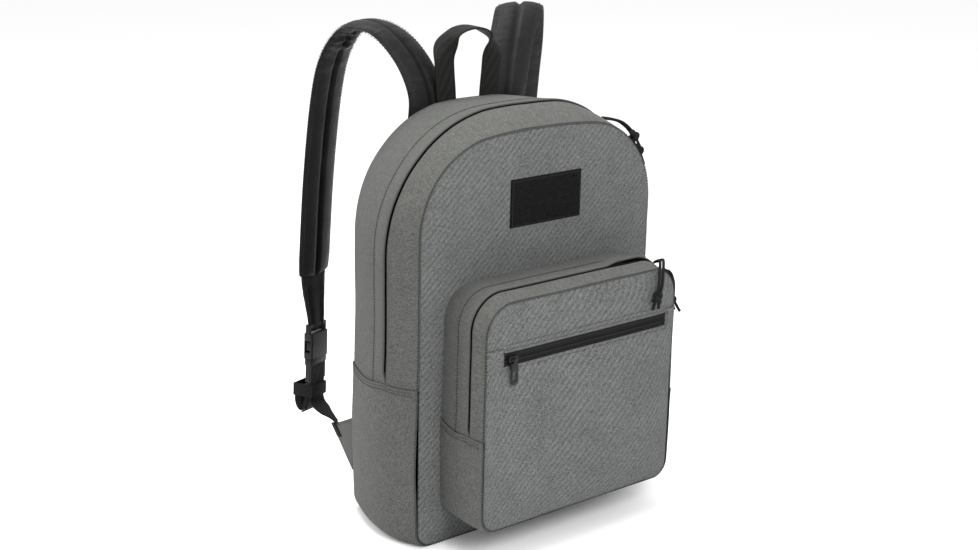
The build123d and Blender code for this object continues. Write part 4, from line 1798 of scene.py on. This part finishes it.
@dataclass
class PullCord:
    """Cord pull: two legs tied in an overhand knot, with two short tails."""

    finishes: Finishes
    name: str
    route: Sequence[tuple[float, float, float]]
    across: tuple[float, float, float]
    length: float
    diameter: float = 0.0032
    spread: tuple[float, float, float, float] = (1.9, 2.5, 1.9, 4.2)
    knot_size: tuple[float, float, float] = (0.0120, 0.0125, 0.0135)

    def build(self) -> None:
        """Builds the legs and the knot."""
        across = Vector(self.across)
        last = len(self.route) - 1
        spreads = [self.spread[0]] + [self.spread[1]] * (last - 2) + list(self.spread[2:])
        knot = self.knot(across)
        for side, label in ((-1, "a"), (1, "b")):
            points = [(Vector(point) + across * (side * gap)) * MM for point, gap in zip(self.route, spreads)]
            curve = bpy.data.curves.new(f"{self.name}_leg_{label}", "CURVE")
            curve.dimensions = "3D"
            curve.bevel_depth = 1.0
            curve.bevel_resolution = 4
            curve.resolution_u = 10
            curve.use_fill_caps = True
            spline = curve.splines.new("NURBS")
            spline.points.add(len(points) - 1)
            for target, point in zip(spline.points, points):
                target.co = (*point, 1.0)
                target.radius = self.diameter / 2
            spline.order_u = 3
            spline.use_endpoint_u = True
            leg = bpy.data.objects.new(f"{self.name}_leg_{label}", curve)
            bpy.context.scene.collection.objects.link(leg)
            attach(leg, self.name)
            dress(leg, self.finishes.cord, "cord", f"{self.name}_cord")
            tuple(points[0])

    def knot(self, across: Vector) -> bpy.types.Object:
        """Overhand knot: a thick cord on a trefoil line, drawn tight."""
        entry, middle, leaving = (Vector(point) * MM for point in self.route[-3:])
        down = (leaving - entry).normalized()
        side = (across - down * across.dot(down)).normalized()
        out = down.cross(side)
        wide, thick, tall = self.knot_size
        radius = 0.0024
        points = []
        for step in range(24):
            angle = 2 * math.pi * step / 24
            x = (math.sin(angle) + 2 * math.sin(2 * angle)) / 3
            y = (math.cos(angle) - 2 * math.cos(2 * angle)) / 3
            z = -math.sin(3 * angle)
            place = middle + side * (x * (wide / 2 - radius * 0.9)) + down * (y * (tall / 2 - radius * 0.6))
            points.append(place + out * (z * (thick / 2 - radius) * 0.7))
        piece = closed_tube(f"{self.name}_overhand", points, radius, self.name)
        return dress(piece, self.finishes.cord, "cord", f"{self.name}_knot")


@dataclass
class Hardware:
    """Zipper sliders, the slip pocket's pull tab, zipper tapes and the lining."""

    finishes: Finishes

    def build(self) -> None:
        """Builds the sliders and dresses the CAD nodes that stay."""
        looks = self.finishes
        for name in ("main_slider_1", "main_slider_2", "pocket_slider_1", "pocket_slider_2", "slip_slider"):
            piece = refined(name, f"{name}_cast", name, 0.0005, 2)
            dress(piece, looks.metal, "slider_metal", name)
        tab = refined("slip_pull_tab", "slip_tab_cast", "slip_tab", 0.00025, 2)
        dress(tab, looks.metal, "slider_metal", "slip_pull_tab")
        for node, material in (
            ("main_zipper", looks.zipper),
            ("pocket_zipper", looks.zipper),
            ("slip_pocket_lining", looks.lining),
        ):
            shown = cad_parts[node]
            for place in shown.material_slots:
                place.material = material
            if not shown.material_slots:
                shown.data.materials.append(material)
            LOG.info("%s keeps its CAD shape, in %s", node, material.name)


@dataclass
class Studio:
    """Pale floor, soft lights, white surroundings and the camera."""

    place: tuple[float, float, float] = (-1.05287, -1.27265, 0.75838)
    right: tuple[float, float, float] = (0.77850, -0.62728, 0.02158)
    up: tuple[float, float, float] = (0.16837, 0.24184, 0.95560)
    forward: tuple[float, float, float] = (0.60464, 0.74029, -0.29389)
    lens: float = 59.78

    def build(self) -> None:
        """Sets up the floor, the lights, the surroundings and the camera."""
        scene = bpy.context.scene
        scene.view_settings.view_transform = "Standard"
        self.floor()
        world = bpy.data.worlds.new("white_studio")
        world.use_nodes = True
        world.node_tree.nodes["Background"].inputs["Color"].default_value = (1.0, 1.0, 1.0, 1.0)
        world.node_tree.nodes["Background"].inputs["Strength"].default_value = 1.0
        scene.world = world
        self.light("front_panel_light", (-0.30, -0.95, 0.80), 0.4, 8.3)
        self.light("rear_panel_light", (-0.9, 1.6, 0.8), 1.0, 22.0)
        self.light("top_panel_light", (-0.1, 0.15, 1.7), 0.8, 27.0)
        camera = bpy.data.cameras.new("studio_camera")
        camera.lens = self.lens
        camera.clip_start = 0.05
        eye = bpy.data.objects.new("studio_camera", camera)
        turn = Matrix((Vector(self.right), Vector(self.up), -Vector(self.forward))).transposed().to_4x4()
        eye.matrix_world = Matrix.Translation(Vector(self.place)) @ turn
        scene.collection.objects.link(eye)
        scene.camera = eye

    def floor(self) -> None:
        """Plain pale floor."""
        mesh = bmesh.new()
        bmesh.ops.create_grid(mesh, x_segments=1, y_segments=1, size=12)
        data = bpy.data.meshes.new("studio_floor")
        mesh.to_mesh(data)
        mesh.free()
        floor = bpy.data.objects.new("studio_floor", data)
        floor.location.z = -0.0005
        bpy.context.scene.collection.objects.link(floor)
        book = Book("studio_floor")
        paint = {"Base Color": (0.95, 0.95, 0.95, 1.0), "Roughness": 1.0, "Specular IOR Level": 0.0}
        data.materials.append(book.finish(paint, {}))

    def light(self, name: str, place: tuple[float, float, float], size: float, power: float) -> None:
        """Square soft light aimed at the pack's middle.

        Args:
            name: its name.
            place: where it hangs.
            size: its side.
            power: its power in watts.
        """
        lamp = bpy.data.lights.new(name, "AREA")
        lamp.size = size
        lamp.energy = power
        holder = bpy.data.objects.new(name, lamp)
        holder.location = place
        aim = Vector((0, 0, 0.25)) - Vector(place)
        holder.rotation_euler = aim.to_track_quat("-Z", "Y").to_euler()
        bpy.context.scene.collection.objects.link(holder)


LEFT_ROUTE = (
    (53.0, 61.0, 441.0),
    (63.0, 68.0, 472.0),
    (80.0, 80.0, 499.0),
    (96.0, 96.0, 511.0),
    (108.0, 115.0, 507.0),
    (117.0, 134.0, 478.0),
    (122.0, 145.0, 430.0),
    (129.0, 150.5, 340.0),
    (137.5, 149.0, 231.0),
)
RIGHT_ROUTE = (
    (53.0, 61.0, 441.0),
    (63.0, 68.0, 472.0),
    (79.0, 79.0, 501.0),
    (95.0, 92.0, 517.0),
    (112.0, 108.0, 509.0),
    (124.0, 122.0, 472.0),
    (130.0, 134.0, 425.0),
    (134.0, 146.0, 335.0),
    (137.5, 149.0, 231.0),
)
MAIN_PULL_1 = (
    (118.7, -24.0, 411.5),
    (129.0, -34.5, 411.0),
    (136.0, -44.0, 404.5),
    (140.0, -51.5, 394.5),
    (142.0, -56.0, 382.5),
)
MAIN_PULL_2 = (
    (132.9, -22.0, 398.3),
    (147.0, -24.0, 391.5),
    (161.0, -25.5, 382.0),
    (172.5, -26.0, 370.5),
    (176.5, -27.0, 355.5),
)
POCKET_PULL_1 = (
    (120.7, -113.0, 272.7),
    (118.5, -123.0, 278.5),
    (107.0, -135.5, 280.0),
    (96.5, -146.0, 272.5),
    (93.0, -149.5, 260.0),
    (90.0, -148.5, 247.5),
    (90.5, -146.5, 235.0),
)
POCKET_PULL_2 = (
    (128.9, -113.0, 259.4),
    (134.5, -113.2, 262.0),
    (140.0, -114.2, 259.0),
    (143.0, -116.0, 250.5),
    (142.5, -118.5, 241.5),
    (138.5, -121.0, 230.5),
    (146.5, -123.0, 217.0),
)


def main() -> None:
    """Builds the daypack and its studio."""
    logging.basicConfig(level=logging.INFO, format="%(name)s: %(message)s")
    looks = Finishes()
    Studio().build()
    for name, route, across, length in (
        ("main_pull_1", MAIN_PULL_1, (0.0, 1.0, 0.0), 0.055),
        ("main_pull_2", MAIN_PULL_2, (0.0, 1.0, 0.0), 0.064),
        ("pocket_pull_1", POCKET_PULL_1, (1.0, 0.0, 0.0), 0.078),
        ("pocket_pull_2", POCKET_PULL_2, (0.0, 1.0, 0.0), 0.055),
    ):
        PullCord(looks, name, route, across, length).build()
    MainBag(looks).build()
    FrontPocket(looks).build()
    for side, route, width in ((1, RIGHT_ROUTE, 0.055), (-1, LEFT_ROUTE, 0.052)):
        ShoulderStrap(looks, side, route, width).build()
    GrabHandle(looks).build()
    Hardware(looks).build()


if __name__ == "__main__":
    main()
